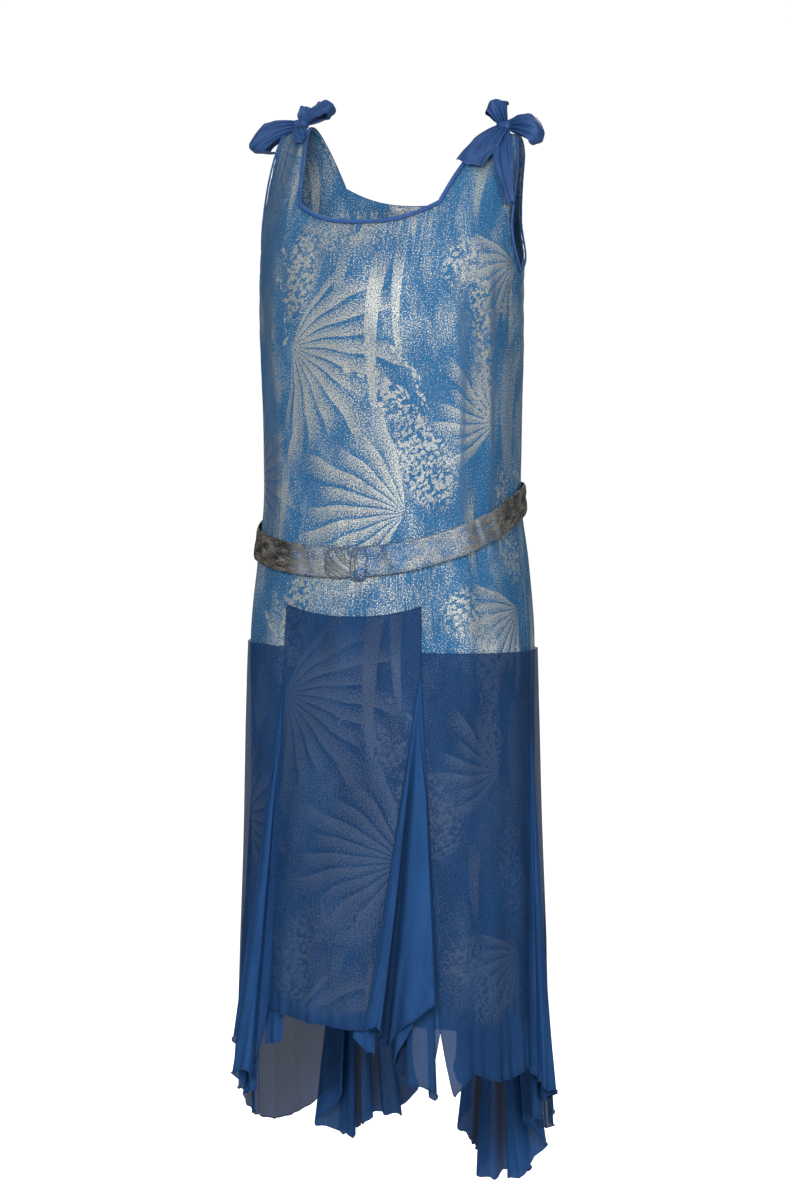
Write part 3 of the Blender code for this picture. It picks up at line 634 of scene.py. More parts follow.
def brocade_material(name):
    """Blue silk with a metal pattern, flecked by its grain, with upright bands of painted shade, tarnished
    cloth at random, and silver painted lighter under the overskirt.
    """
    cloth = Cloth(name, Specular_IOR_Level=0.22)
    speck = cloth.noise(cloth.places, *FLECKS)
    grain = cloth.noise(cloth.places, *GRAIN)
    streak = cloth.noise(cloth.join(cloth.across * 3.0, cloth.up * 0.28), 1.3, 3.0, 0.6)
    broad = cloth.noise(cloth.join(cloth.across, cloth.up * 0.5), 0.22, 3.0, 0.55)
    drift = cloth.noise(cloth.join(cloth.across, cloth.up, 5.3), 0.8, 2.0, 0.5) - 0.5
    petals = cloth.cells(cloth.join(cloth.across + drift * 1.6, cloth.up * 0.8 - drift * 1.1, 0.7), 1.9)
    buds = (petals + (speck - 0.5) * 0.35).step(0.56, 0.34) * 1.1
    aside = cloth.across * 0.80 + cloth.up * 0.60
    above = cloth.up * 0.80 - cloth.across * 0.60
    leaves = cloth.cells(cloth.join(aside * 0.75, above * 1.5 + drift * 1.4, 0.2), 1.5)
    leaves = largest([(leaves + (speck - 0.5) * 0.4).step(0.56, 0.34), petals.step(0.50, 0.30)]) * 1.05 + 0.10
    motifs = [fan_field(cloth, *fan) for fan in FANS]
    motifs += [stalk_field(cloth, streak, *stalk) for stalk in STALKS]
    motifs += [spray_field(cloth, buds, *spray) for spray in SPRAYS]
    motifs += [bed_field(cloth, leaves, *bed) for bed in BEDS]
    haze = streak.step(0.36, 0.75) * 0.24 + broad.step(0.44, 0.66) * 0.40
    strands = (cloth.up + 12.0).wrap(REPEAT_UP).step(-11.0, 1.0)
    strands = strands * (cloth.up + 11.0).wrap(REPEAT_UP).step(3.0, 1.0)
    strands = strands * (cloth.across - 2.0).wrap(REPEAT_ACROSS).maths("ABSOLUTE").step(12.0, 4.0)
    strands = strands * streak.step(0.38, 0.62) * 0.70
    density = largest([*motifs, haze, strands])
    level = (speck - 0.5) * 4.6 + 0.5
    metal = (density - level * 0.94).step(-0.03, 0.20)
    worn = cloth.noise(cloth.join(cloth.across * 1.5, cloth.up * 0.45, 3.1), 0.5, 4.0, 0.6)
    # Below the overskirt's top the silver is painted lighter, a painted lift of light, and the painted shade
    # bands are left off.
    under = cloth.up.step(-57.0, -62.0)
    blue = cloth.blend(broad.step(0.3, 0.7), *BROCADE_BLUES)
    silver = cloth.blend(grain.step(0.38, 0.62), *BROCADE_SILVERS)
    silver = cloth.blend(broad.step(0.62, 0.36) * 0.30, silver, CLOUDED_SILVER)
    silver = cloth.blend(under * 0.85, silver, SILVER_LIT_UNDER_SKIRT)
    colour = cloth.blend(metal, blue, silver)
    # Toward the darker blues: painted shade from the extra share's bands, and tarnish at random from the worn
    # noise.
    tarnish_and_shade_colour = cloth.blend(speck.step(0.38, 0.62), *TARNISH_AND_SHADE_BLUES)
    tarnish_and_shade = (cloth.extra * 0.68 + worn.step(0.56, 0.74) * 0.40).maths("MINIMUM", 0.80)
    colour = cloth.blend(tarnish_and_shade * (1.0 - under), colour, tarnish_and_shade_colour)
    cloth.set("Base Color", colour)
    cloth.set("Metallic", metal * 0.40 + 0.15)
    cloth.set("Roughness", 0.62 - metal * 0.16 + grain * 0.08)
    twill = ((cloth.across + cloth.up * 0.7) * TWILL).maths("SINE")
    cloth.bump(grain * 0.6 + metal * 0.8 + twill * 0.08, 0.60, 0.0006)
    return cloth.material


def chiffon_material(name, thin, thick, painted_light=1.0, dense_shade=1.0):
    """Sheer crepe-twisted silk: a film that is denser where the extra share says, and darker there as painted
    shade; blues painted lighter or darker for each piece; a fine crinkled grain; and colour whose fading runs
    in upright clouds."""
    cloth = Cloth(name, Specular_IOR_Level=0.12)
    cloud = cloth.noise(cloth.join(cloth.across * 0.6, cloth.up * 0.14, 1.7), 0.8, 3.0, 0.5)
    grain = cloth.noise(cloth.places, *CHIFFON_GRAIN)
    crinkle = cloth.noise(cloth.join(cloth.across * 2.6, cloth.up * 0.30), 2.6, 3.0, 0.6)
    shade = (cloud * 0.50 + crinkle * 0.28 + grain * 0.22).step(0.38, 0.62)
    # Painted light: the blues scaled lighter or darker for each piece; painted shade, darker again, where the
    # extra share is high.
    blues = lit(CHIFFON_BLUES, painted_light)
    colour = cloth.blend(cloth.extra, cloth.blend(shade, *blues), cloth.blend(shade, *lit(blues, dense_shade)))
    threads = (cloth.across * CHIFFON_THREADS).maths("SINE") * (cloth.up * CHIFFON_THREADS).maths("SINE")
    cloth.set("Base Color", colour)
    cloth.set("Roughness", grain * 0.12 + 0.62)
    cloth.set("Alpha", cloth.extra * (thick - thin) + thin)
    cloth.bump(crinkle * 0.9 + grain * 0.35 + threads * 0.06, 0.50, 0.0007)
    return cloth.material


def ribbon_material(name, cover, painted_ribbon_light):
    """The same silk, doubled, in bindings, knots and bows, in soft clouds of darker and lighter blue, and
    painted lighter or darker for each piece as painted light.
    """
    cloth = Cloth(name, Alpha=cover, Specular_IOR_Level=0.25)
    cloud = cloth.noise(cloth.join(cloth.across, cloth.up * 0.5, 0.4), 0.9, 3.0, 0.5)
    grain = cloth.noise(cloth.places, *RIBBON_GRAIN)
    # Painted light: the blues scaled lighter or darker for each piece.
    colour = cloth.blend((cloud * 0.6 + grain * 0.4).step(0.34, 0.66), *lit(RIBBON_BLUES, painted_ribbon_light))
    weave = (cloth.across * TWILL).maths("SINE") * (cloth.up * TWILL).maths("SINE")
    cloth.set("Base Color", colour)
    cloth.set("Roughness", grain * 0.15 + 0.46)
    cloth.bump(cloud * 0.8 + grain * 0.3 + weave * 0.08, 0.35, 0.0006)
    return cloth.material


def sash_material(name):
    """The belt's brocade: silver and blue, worn and tarnished brown to black where the extra share says,
    which also holds painted shade in the hollows of its creases.
    """
    cloth = Cloth(name, Specular_IOR_Level=0.3)
    smear = cloth.noise(cloth.join(cloth.across * 0.5, cloth.up * 1.1, 0.9), 1.1, 4.0, 0.62)
    speck = cloth.noise(cloth.places, *SASH_FLECKS)
    grain = cloth.noise(cloth.places, *SASH_GRAIN)
    patch = cloth.noise(cloth.places, 0.55, 3.0, 0.6)
    shine = cloth.across.step(2.0, 8.0)
    density = patch.step(0.26, 0.72) * 0.54 + smear * 0.24 + shine * 0.20
    metal = (density - ((speck - 0.5) * 4.2 + 0.5) * 0.85).step(-0.10, 0.34)
    blue = cloth.blend(smear.step(0.35, 0.65), *SASH_BLUES)
    silver = cloth.blend(grain.step(0.38, 0.62), *SASH_SILVERS)
    colour = cloth.blend(metal, blue, silver)
    fleck = (speck * 0.5 + smear * 0.5).step(0.44, 0.62)
    brown = cloth.blend(fleck, *SASH_BROWNS)
    # Brown where the extra share and the smear say: tarnish, and the painted shade of the creases' hollows.
    tarnish_and_crease_shade = (cloth.extra + (smear - 0.5) * 1.3).step(0.25, 0.70)
    colour = cloth.blend(tarnish_and_crease_shade, colour, brown)
    cloth.set("Base Color", colour)
    cloth.set("Metallic", 0.42 - tarnish_and_crease_shade * 0.20)
    cloth.set("Roughness", tarnish_and_crease_shade * 0.10 + 0.46)
    cloth.bump(grain * 0.7 + metal * 0.5 + smear * 0.6, 0.6, 0.0007)
    return cloth.material


BROCADE = brocade_material("brocade_cloth")
# Copies of one chiffon and one ribbon silk: besides their density, each is painted lighter or darker for the
# light its piece gets, painted light and shade.
CHIFFON = chiffon_material("chiffon_cloth", 0.77, 0.963, 0.82, 0.95)
GODET_CHIFFON = chiffon_material("godet_chiffon", 0.960, 0.988, 1.20, 0.36)
BACK_CHIFFON = chiffon_material("back_godet_chiffon", 0.990, 0.994, 1.40, 0.80)
HEM_SILK = chiffon_material("hem_silk", 0.92, 0.96, 0.85)
RIBBON = ribbon_material("ribbon_silk", 0.94, 0.80)
BINDING = ribbon_material("binding_silk", 1.0, 1.05)
SASH = sash_material("sash_cloth")
THREAD = ribbon_material("sewing_thread", 1.0, 0.9)


# The tunic.


def angle_of(x, height):
    half = figure_size("half_width", height)
    return np.arcsin(np.minimum(1.0, (np.asarray(x, float) / half) ** (SECTION_POWER / 2.0)))


def strap_x(yoke, share, height):
    inner = smooth_through(yoke["height"], yoke["inner"], height)
    outer = smooth_through(yoke["height"], yoke["outer"], height)
    return inner + (outer - inner) * share


def yoke_point(column, yoke):
    """Where a column of the panel ends below the straps: its angle and height."""
    corner = yoke["neck"] + NECK_CORNER_RISE
    last = yoke["outer_column"]
    if column <= CORNER_COLUMN:
        share = column / CORNER_COLUMN
        height = yoke["neck"] + NECK_CORNER_RISE * share**2.6
        return float(angle_of(strap_x(yoke, 0, corner) * share, height)), height
    if column <= last:
        share = (column - CORNER_COLUMN) / (last - CORNER_COLUMN)
        height = corner + (yoke["foot"] - corner) * share
        return float(angle_of(strap_x(yoke, share, height), height)), height
    share = (column - last) / (SIDE_COLUMNS - last)
    outer = float(angle_of(strap_x(yoke, 1, yoke["foot"]), yoke["foot"]))
    drop = math.sqrt(1.0 - (1.0 - share) ** 2) * 0.5 + share * 0.5
    height = yoke["foot"] + (UNDERARM - yoke["foot"]) * drop
    return outer + (math.pi / 2 - outer) * share, height


def belt_height(angle):
    saddle = BELT_SADDLE[0] * np.cos(2 * angle) + BELT_SADDLE[1] * np.sin(2 * angle)
    return BELT_MIDDLE - BELT_DIP * np.cos(angle) + BELT_CLIMB * np.sin(angle) + saddle


# How deep the tunic's fine folds go.
NIP = 0.0011
SLACK = 0.0008
DRAG = 0.0016
STRAP_GATHER = 0.0019

# Upright bands of painted shade on the brocade, along its folds and at its sides: angle, half width, lowest
# and highest.
SHADE_BANDS = ((-50.0, 8.5, -0.50, 0.05), (-60.0, 13.0, -0.13, 0.05), (47.0, 2.4, -0.47, -0.19),
              (66.0, 3.0, -0.50, -0.16), (-78.0, 9.0, -0.60, -0.16), (133.0, 5.0, -0.52, -0.14),
              (205.0, 6.0, -0.60, -0.14), (250.0, 5.0, -0.55, -0.16))


# How much painted shade a point of the brocade gets from the bands.
def band_shade(angle, height):
    share = 0.0
    for where, half, low, high in SHADE_BANDS:
        away = np.abs(degrees_from(where, angle))
        wander = 1 + 0.25 * np.sin(height * 31.0 + where)
        band = 1 - smooth_step(0.55 * half * wander, half * wander, away)
        share = np.maximum(share, band * smooth_step(low - 0.03, low + 0.05, height) *
                           (1 - smooth_step(high - 0.04, high + 0.01, height)))
    return share


def tunic_creases(angle, height):
    """Fine folds, all inwards of the worn shape: nips at the belt, drags below the arms, and slack cloth."""
    run = angle * ROUND
    near_belt = hump(height - belt_height(angle), 0.034)
    under_belt = hump(height - belt_height(angle), 0.017, 4)
    pucker = 1 + ripples(run, (0.013, 0.6, 0.3), (0.0083, 0.4, 1.1))
    nips = NIP * near_belt * (1 - 0.8 * under_belt) * pucker
    uneven = ripples(run + 0.3 * height, (0.071, 0.5, 0.2), (0.043, 0.3, 2.0))
    slack = SLACK * (1 + uneven * np.cos(height * 11 + 3 * angle))
    side = np.abs(np.abs((angle + math.pi) % (2 * math.pi) - math.pi) - math.pi / 2)
    drags = hump(side, 0.42) * smooth_step(-0.36, -0.20, height)
    drags = DRAG * drags * (0.5 + 0.5 * np.sin((height * 1.7 + np.abs(side) * 0.26) * 150.0))
    return -(nips + slack + drags) * smooth_step(0.002, 0.05, -height)


def body_grid(yoke, back):
    columns = np.linspace(-SIDE_COLUMNS, SIDE_COLUMNS, 2 * SIDE_COLUMNS * FINE_COLUMNS + 1)
    tops = [yoke_point(abs(column), yoke) for column in columns]
    top_angle = np.array([top[0] for top in tops])
    top = np.array([top[1] for top in tops])
    low_angle = np.radians(np.abs(columns) * COLUMN_ANGLE)
    sign = np.where(columns < 0, -1.0, 1.0)
    hem_x = figure_size("half_width", TUNIC_HEM) * np.sin(low_angle) * sign
    hem = TUNIC_HEM - HEM_TILT * (-hem_x if back else hem_x)
    up = shares(BODY_ROWS + 1)[:, None]
    height = hem + (top - hem) * up
    drift = smooth_step(-0.42, top, height)
    angle = low_angle + (top_angle - low_angle) * drift
    angle = np.minimum(angle, math.pi / 2 - SEAM_GAP / figure_size("front", height)) * sign
    angle = math.pi + angle if back else angle
    edge = smooth_step(0.0, 0.6, SIDE_COLUMNS - np.abs(columns))[None, :]
    grid = figure_point(angle, height, tunic_creases(angle, height) * (0.25 + 0.75 * edge))
    # The extra share here is the bands' painted shade.
    return grid, places_of(angle * ROUND, height, band_shade(angle, height))


def strap_grid(yoke, back, side):
    share = shares((yoke["outer_column"] - CORNER_COLUMN) * FINE_COLUMNS + 1)
    share = share if side > 0 else share[::-1]
    column = CORNER_COLUMN + share * (yoke["outer_column"] - CORNER_COLUMN)
    foot = np.array([yoke_point(each, yoke)[1] for each in column])
    up = shares(STRAP_ROWS + 1)[:, None]
    height = foot * (1 - up) ** STRAP_CROWD
    angle = angle_of(strap_x(yoke, share, height), height)
    turned = angle * side
    turned = math.pi + turned if back else turned
    edge = smooth_step(0.0, 0.10, share) * smooth_step(0.0, 0.10, 1 - share)
    drawn = smooth_step(-0.082, -0.012, height)
    waves = 0.5 + 0.5 * np.sin(2 * math.pi * (share * 5.2 + 0.35 * np.sin(share * 9.0) + 0.2 * side))
    gather = (STRAP_GATHER * waves - 0.0006) * edge * drawn + tunic_creases(turned, height)
    grid = figure_point(turned, height, gather)
    grid[-1, :, 1] += SHOULDER_GAP * (1 if back else -1)
    # Painted shade on the strap near the shoulder, following its gathers, and deeper on the wearer's right
    # strap.
    strap_shade = drawn * (0.62 if side < 0 else 0.20) * (0.6 + 0.4 * waves)
    return grid, places_of(turned * ROUND, height, np.maximum(band_shade(turned, height), strap_shade))


def tunic_panel(name, back):
    yoke = YOKES["back" if back else "front"]
    grids = [body_grid(yoke, back)] + [strap_grid(yoke, back, side) for side in (-1, 1)]
    return make_piece(name + "_cloth", BROCADE, grids, name, weld=STRAP_WELD, wall=BROCADE_WALL)


def half_edge(yoke, armhole, rows, columns):
    share = 1 if armhole else 0
    foot = yoke["foot"] if armhole else yoke["neck"] + NECK_CORNER_RISE
    edge = []
    for row in range(rows):
        height = foot * (row / rows) ** STRAP_CROWD
        edge.append((float(angle_of(strap_x(yoke, share, height), height)), height))
    last = SIDE_COLUMNS if armhole else 0
    first = yoke["outer_column"] if armhole else CORNER_COLUMN
    for step in range(columns + 1):
        edge.append(yoke_point(first + (last - first) * step / columns, yoke))
    return edge


def binding(name, edge, width, over, end_gap=0.0):
    """A turned strip of silk over a raw edge, rounded at the edge and stitched down along its inner side."""
    edge = np.array(edge)
    path = worn_shape(edge[:, 0], edge[:, 1])
    normal = outward(edge[:, 0], edge[:, 1])
    tangents = unit(np.gradient(path, axis=0))
    inward = unit(np.cross(normal, tangents))
    lift = 0.0006 + 0.0007 * (1 - smooth_step(0.0, 0.030, -edge[:, 1]))
    top = edge[:, 1] > -1e-6
    path[top, 1] += end_gap
    run = run_along(path)
    share = shares(9)
    outer = np.stack([share * width - over, STRIP_PROUD * (1 - (2 * share - 1) ** 4) ** 0.5], -1)
    inner = np.stack([share[-2:0:-1] * width - over, np.full(7, STRIP_UNDER)], -1)
    profile = np.concatenate([outer, inner])[None] * np.ones((len(run), 1, 1))
    pucker = 0.00016 * np.sin(run * 2 * math.pi / 0.0052) + 0.00012 * np.sin(run * 2 * math.pi / 0.0131 + 1)
    profile[:, 1:8, 1] += pucker[:, None] * np.sin(math.pi * share[1:8])[None, :]
    profile[:, :, 1] += lift[:, None]
    grid = path[:, None] + inward[:, None] * profile[..., :1] + normal[:, None] * profile[..., 1:]
    around = np.concatenate([share, share[-2:0:-1]]) * width
    strip = [(grid, places_of(around[None], run[:, None], 0.0))]
    make_piece(name + "_strip", BINDING, strip, name, tube=True)
    row = path + inward * (width * STITCH_LINE - over) + normal * (lift + 0.0010)[:, None]
    make_piece(name + "_stitches", THREAD, stitch_grids(row, normal), tube=True)


def neck_edge(back):
    half = half_edge(YOKES["back" if back else "front"], False, 48, 60)
    turn = math.pi if back else 0.0
    edge = [(turn - angle, height) for angle, height in half]
    edge += [(turn + angle, height) for angle, height in reversed(half[:-1])]
    return edge[::-1]


def armhole_edge(side):
    front = [(angle * side, height) for angle, height in half_edge(YOKES["front"], True, 44, 44)]
    back = [(math.pi - angle, height) for angle, height in half_edge(YOKES["back"], True, 44, 44)]
    back = [(angle if side > 0 else -angle, height) for angle, height in back]
    edge = front[:-1] + back[::-1]
    return edge[::-1] if side > 0 else edge


def build_tunic():
    front = tunic_panel("tunic_front", False)
    back = tunic_panel("tunic_back", True)
    for name, back_side in (("neck_binding_front", False), ("neck_binding_back", True)):
        binding(name, neck_edge(back_side), *NECK_STRIP, SHOULDER_GAP * (1 if back_side else -1))
    binding("armhole_binding_left", armhole_edge(1), *ARMHOLE_STRIP)
    binding("armhole_binding_right", armhole_edge(-1), *ARMHOLE_STRIP)


# The overskirt.


def column_of(table, name):
    return {key: values[table["name"].index(name)] for key, values in table.items()}


def reach_share(height, apex):
    return (apex - height) / (apex - GODET_REACH)


def edge_angle(seam, hem, apex, height):
    share = np.maximum(reach_share(height, apex), 0.0)
    return math.radians(seam) + math.radians(hem - seam) * share


def top_height(panel, share):
    angle = panel["from_seam"] + (panel["to_seam"] - panel["from_seam"]) * share
    if panel["name"] in ("front", "back"):
        return CENTRE_TOP - CENTRE_TOP_DIP * (1 - (2 * share - 1) ** 2)
    return SIDE_TOP - SIDE_TOP_TILT * 0.166 * np.sin(np.radians(angle))


def rolled(grid, cloth):
    """The grid with its lowest row rolled under into a narrow hem. Row 0 is the hem."""
    down = unit(grid[0] - grid[2])
    along = unit(np.gradient(grid[0], axis=0))
    inner = unit(np.cross(down, along))
    turn = np.linspace(0.0, 1.55 * math.pi, HEM_ROLL_STEPS + 1)[1:][::-1]
    rings = [grid[0] + HEM_ROLL * (down * math.sin(each) + inner * (1 - math.cos(each))) for each in turn]
    places = [cloth[0] - np.array([0.0, HEM_ROLL * each, 0.0]) for each in turn]
    return np.concatenate([np.array(rings), grid]), np.concatenate([np.array(places), cloth])


# The hem of each panel as it hangs: shares of its width, and their heights.
PANEL_HEMS = {
    "front": ((0.0, 0.5, 1.0), (-1.002, -1.013, -1.019)),
    "left_front": ((0.0, 0.035, 0.075, 0.14, 0.24, 0.42, 0.60, 0.76, 0.90, 1.0),
                   (-1.022, -1.058, -1.088, -1.084, -1.070, -1.073, -1.077, -1.073, -1.066, -1.076)),
    "left_back": ((0.0, 0.25, 0.5, 0.75, 1.0), (-1.115, -1.146, -1.158, -1.160, -1.150)),
    "back": ((0.0, 0.5, 1.0), (-1.050, -1.038, -1.050)),
    "right_back": ((0.0, 0.12, 0.35, 0.60, 0.85, 1.0), (-1.128, -1.140, -1.160, -1.168, -1.165, -1.158)),
    "right_front": ((0.0, 0.5, 1.0), (-1.092, -1.076, -1.045)),
}


def panel_grid(name, columns=96, rows=110):
    panel = column_of(PANELS, name)
    order = PANELS["name"].index(name)
    from_apex, to_apex = GODETS["apex"][order - 1], GODETS["apex"][order]
    across, up = share_grid(columns, rows, 1.15)
    top = top_height(panel, across)
    hem = smooth_through(*PANEL_HEMS[name], across)
    edge = 1 - (2 * across - 1) ** 6
    uneven = ripples(across * PANEL_WIDTH, (0.034, 0.0006, order), (0.0127, 0.0003, 2.0 * order + 1))
    hem = hem + edge * uneven
    height = hem + (top - hem) * up
    first = edge_angle(panel["from_seam"], panel["from_hem"], from_apex, height)
    last = edge_angle(panel["to_seam"], panel["to_hem"], to_apex, height)
    inset = SEAM_GAP / ROUND
    angle = first + inset + (last - first - 2 * inset) * across
    grown = smooth_step(WAVE_START, GODET_REACH, height)
    wave = (0.5 - 0.5 * np.cos(2 * math.pi * panel["waves"] * across)) * edge
    out = panel["wave_height"] * wave * grown
    run = angle * ROUND
    low = near_hem(height, hem, 0.045)
    soft = 0.5 + 0.5 * ripples(run + 0.05 * height, (0.052, 0.6, order), (0.031, 0.4, 1.3 * order))
    out = out + edge * (PANEL_GATHER * smooth_step(0.0, 0.12, top - height) * soft)
    out = out + edge * low * PANEL_RIPPLE * (1 + ripples(run, (0.019, 0.6, order), (0.0121, 0.4, 0.7)))
    grid = skirt_point(angle, height, out)
    # The extra share: denser film below the tunic's hem and at the sides, and in the panels' material a
    # little darker there, painted shade.
    tunic_hem = TUNIC_HEM - HEM_TILT * figure_size("half_width", TUNIC_HEM) * np.sin(angle)
    reach = (height - tunic_hem - 0.003) / (0.012 + 0.4 * ease(angle, height))
    below = 1 - smooth_step(0.0, 1.0, reach)
    side = 0.5 * hump(np.cos(angle), 0.22) * smooth_step(0.0, 0.05, top - height)
    return rolled(grid, places_of(angle * ROUND, height, np.maximum(below, side)))


def flute_curve(parts, heights):
    """A godet's level section: how far along, 0 to 1, and how far out, at even steps of its cloth."""
    steps = 60
    along, out = [0.0], [0.0]
    for share, tall in zip(parts, heights):
        base = out[-1]
        for step in range(steps):
            turn = FLUTE_SWING * math.sin(2 * math.pi * (step + 0.5) / steps)
            along.append(along[-1] + math.cos(turn) * share / steps)
            out.append(out[-1] + math.sin(turn) * share * tall / steps)
        out[-1] = base
    along = np.array(along) / along[-1]
    out = np.maximum(np.array(out), 0.0)
    return shares(len(along)), along, out / out.max()


# Each godet's flutes: their shares of the width, how steep each stands, and places across it with their lean.
FLUTES = {
    "front_left": ((0.28, 0.16, 0.56), (2.20, 6.25, 0.45),
                   ((0.0, 0.31, 0.37, 1.0), (0.10, 0.10, 1.65, 1.65))),
    "left_side": ((1.25, 1.0), (1.0, 0.7), ((0.0, 1.0), (0.10, 0.25))),
    "back_left": ((1.0, 1.6, 0.8, 1.3), (0.80, 0.60, 0.95, 0.70), ((0.0, 1.0), (-0.25, 0.10))),
    "back_right": ((1.9, 1.3, 0.7, 0.8), (0.25, 0.50, 1.4, 1.3), ((0.0, 1.0), (0.20, 0.70))),
    "right_side": ((1.0, 1.2), (0.8, 1.0), ((0.0, 1.0), (-0.30, -0.10))),
    "front_right": ((0.40, 0.60), (1.20, 1.40), ((0.0, 1.0), (-0.20, 0.15))),
}
# The hem of each godet as cut: places across its cloth, and their heights.
GODET_HEMS = {
    "front_left": ((0.0, 0.10, 0.22, 0.31, 0.38, 0.44, 0.50, 0.55, 0.60, 0.667, 0.75, 0.85, 0.93, 0.975, 1.0),
                   (-1.019, -1.013, -1.016, -1.034, -1.032, -1.012, -0.986, -0.990, -1.030, -1.062, -1.070,
                    -1.082, -1.093, -1.070, -1.022)),
    "left_side": ((0.0, 0.25, 0.5, 0.75, 1.0), (-1.076, -1.098, -1.112, -1.108, -1.115)),
    "back_left": ((0.0, 0.10, 0.22, 0.36, 0.48, 0.60, 0.72, 0.86, 1.0),
                  (-1.150, -1.186, -1.228, -1.224, -1.236, -1.216, -1.190, -1.140, -1.050)),
    "back_right": ((0.0, 0.10, 0.30, 0.45, 0.60, 0.75, 0.90, 1.0),
                   (-1.050, -1.140, -1.168, -1.172, -1.190, -1.196, -1.180, -1.128)),
    "right_side": ((0.0, 0.20, 0.45, 0.75, 1.0), (-1.158, -1.150, -1.116, -1.100, -1.092)),
    "front_right": ((0.0, 0.12, 0.25, 0.40, 0.52, 0.64, 0.72, 0.80, 0.90, 0.96, 1.0),
                    (-1.045, -1.042, -1.052, -1.090, -1.096, -1.094, -1.080, -1.074, -1.080, -1.050, -1.002)),
}


def godet_edges(name):
    godet = column_of(GODETS, name)
    order = GODETS["name"].index(name)
    before = column_of(PANELS, PANELS["name"][order])
    after = column_of(PANELS, PANELS["name"][(order + 1) % 6])
    after_hem = after["from_hem"] + (360.0 if after["from_hem"] < before["to_hem"] else 0.0)
    return godet, before["to_seam"], before["to_hem"], after_hem


def godet_grid(name, per_flute=48, rows=120):
    godet, seam, before_hem, after_hem = godet_edges(name)
    order = GODETS["name"].index(name)
    parts, heights, lean = FLUTES[name]
    columns = per_flute * len(parts)
    cloth_share, along, out = flute_curve(parts, heights)
    top = godet["apex"] - 0.004
    across, up = share_grid(columns, rows, 1.1)
    hem = smooth_through(*GODET_HEMS[name], across)
    edge = 1 - (2 * across - 1) ** 8
    run = across * FLUTE_WIDTH * len(parts)
    hem = hem + edge * ripples(run, (0.027, 0.0012, order), (0.0143, 0.0007, 1.7 * order))
    height = hem + (top - hem) * up
    share = reach_share(height, godet["apex"])
    first = edge_angle(seam, before_hem, godet["apex"], height)
    last = edge_angle(seam, after_hem, godet["apex"], height)
    inset = SEAM_GAP / ROUND
    grown = smooth_step(0.03, 0.35, share) * share
    low = near_hem(height, hem, 0.05)
    wrinkle = ripples(run + 0.02 * share, (0.027, 0.6, order), (0.016, 0.4, 0.9))
    flare = edge * (GODET_RIPPLE * grown + GODET_HEM_RIPPLE * low) * wrinkle
    drift = 0.012 * np.sin(share * 5.0 + order) * edge * share
    inner = np.clip(across + drift * (1 - across) * across * 4, 0.0, 1.0)
    proud = np.interp(inner, cloth_share, out)
    rise = godet["rise"] * grown * proud
    straight = 1 - smooth_step(0.02, 0.30, share)
    place_along = np.interp(inner, cloth_share, along) * (1 - straight) + inner * straight
    angle = first + inset + (last - first - 2 * inset) * place_along
    angle = angle + np.interp(inner, *lean) * rise * proud / ROUND
    keep = np.maximum(rise + flare, 0.0)
    grid = skirt_point(angle, height, keep)
    # The extra share: denser film in the flutes' valleys, where the godets' material also paints it darker,
    # painted shade.
    valley = (1 - proud) ** 2 * smooth_step(0.08, 0.40, share) * edge
    return rolled(grid, places_of(order * 0.7 + run, height, 0.10 + 0.90 * valley))


# Where a godet's cloth folds back under its neighbour.
UNDER_FOLDS = {
    # from and to in degrees, top, hem at both ends, and how far out
    "front_right": ((-39.0, -28.5, -0.994, -1.046, -1.040, -0.0035),
                    (-59.0, -40.5, -1.030, -1.104, -1.100, 0.0050)),
    "front_left": ((1.5, 9.0, -1.008, -1.030, -1.048, -0.0030),),
    "left_side": ((84.0, 97.0, -1.026, -1.128, -1.134, -0.0030),),
}


def under_fold_grid(start, stop, top, first_hem, last_hem, out, columns=48, rows=44):
    across, up = share_grid(columns, rows)
    run = across * (stop - start) * METRES_TO_A_DEGREE
    hem = first_hem + (last_hem - first_hem) * across
    hem = hem + ripples(run, (0.017, 0.0016, start), (0.009, 0.0008, 2.0))
    height = hem + (top - hem) * up
    low = near_hem(height, hem, 0.05)
    angle = np.radians(start + (stop - start) * across) + 0.010 * np.sin(9.0 * (height - top)) * low
    proud = out + UNDER_RIPPLE * low * ripples(run, (0.021, 0.6, stop), (0.012, 0.4, 0.9))
    return rolled(skirt_point(angle, height, proud), places_of(angle * ROUND, height, 0.15))


def seam_paths():
    """Lines of sewing: the stepped seam round the hips, the panel joins, and both sides of every godet."""
    lines = []
    for name in PANELS["name"]:
        panel = column_of(PANELS, name)
        share = shares(90)
        angle = np.radians(panel["from_seam"] + (panel["to_seam"] - panel["from_seam"]) * share)
        lines.append((angle, top_height(panel, share) - 0.0003, SEAM_CORD))
    for name in GODETS["name"]:
        godet, seam, before_hem, after_hem = godet_edges(name)
        order = GODETS["name"].index(name)
        before, after = PANELS["name"][order], PANELS["name"][(order + 1) % 6]
        ends = ((before, 1.0), (after, 0.0))
        tops = [float(top_height(column_of(PANELS, each), share)) for each, share in ends]
        height = np.linspace(max(tops), godet["apex"], 40)
        lines.append((np.full(40, math.radians(seam)), height, JOIN_CORD))
        hems = GODET_HEMS[name][1]
        for hem_angle, hem in ((before_hem, hems[0]), (after_hem, hems[-1])):
            height = np.linspace(godet["apex"], hem + 0.0008, 110)
            lines.append((edge_angle(seam, hem_angle, godet["apex"], height), height, JOIN_CORD))
    return lines


def hang(kind, name, material, grids):
    piece = make_piece(f"{kind}_{name}_cloth", material, grids, f"{kind}_{name}")


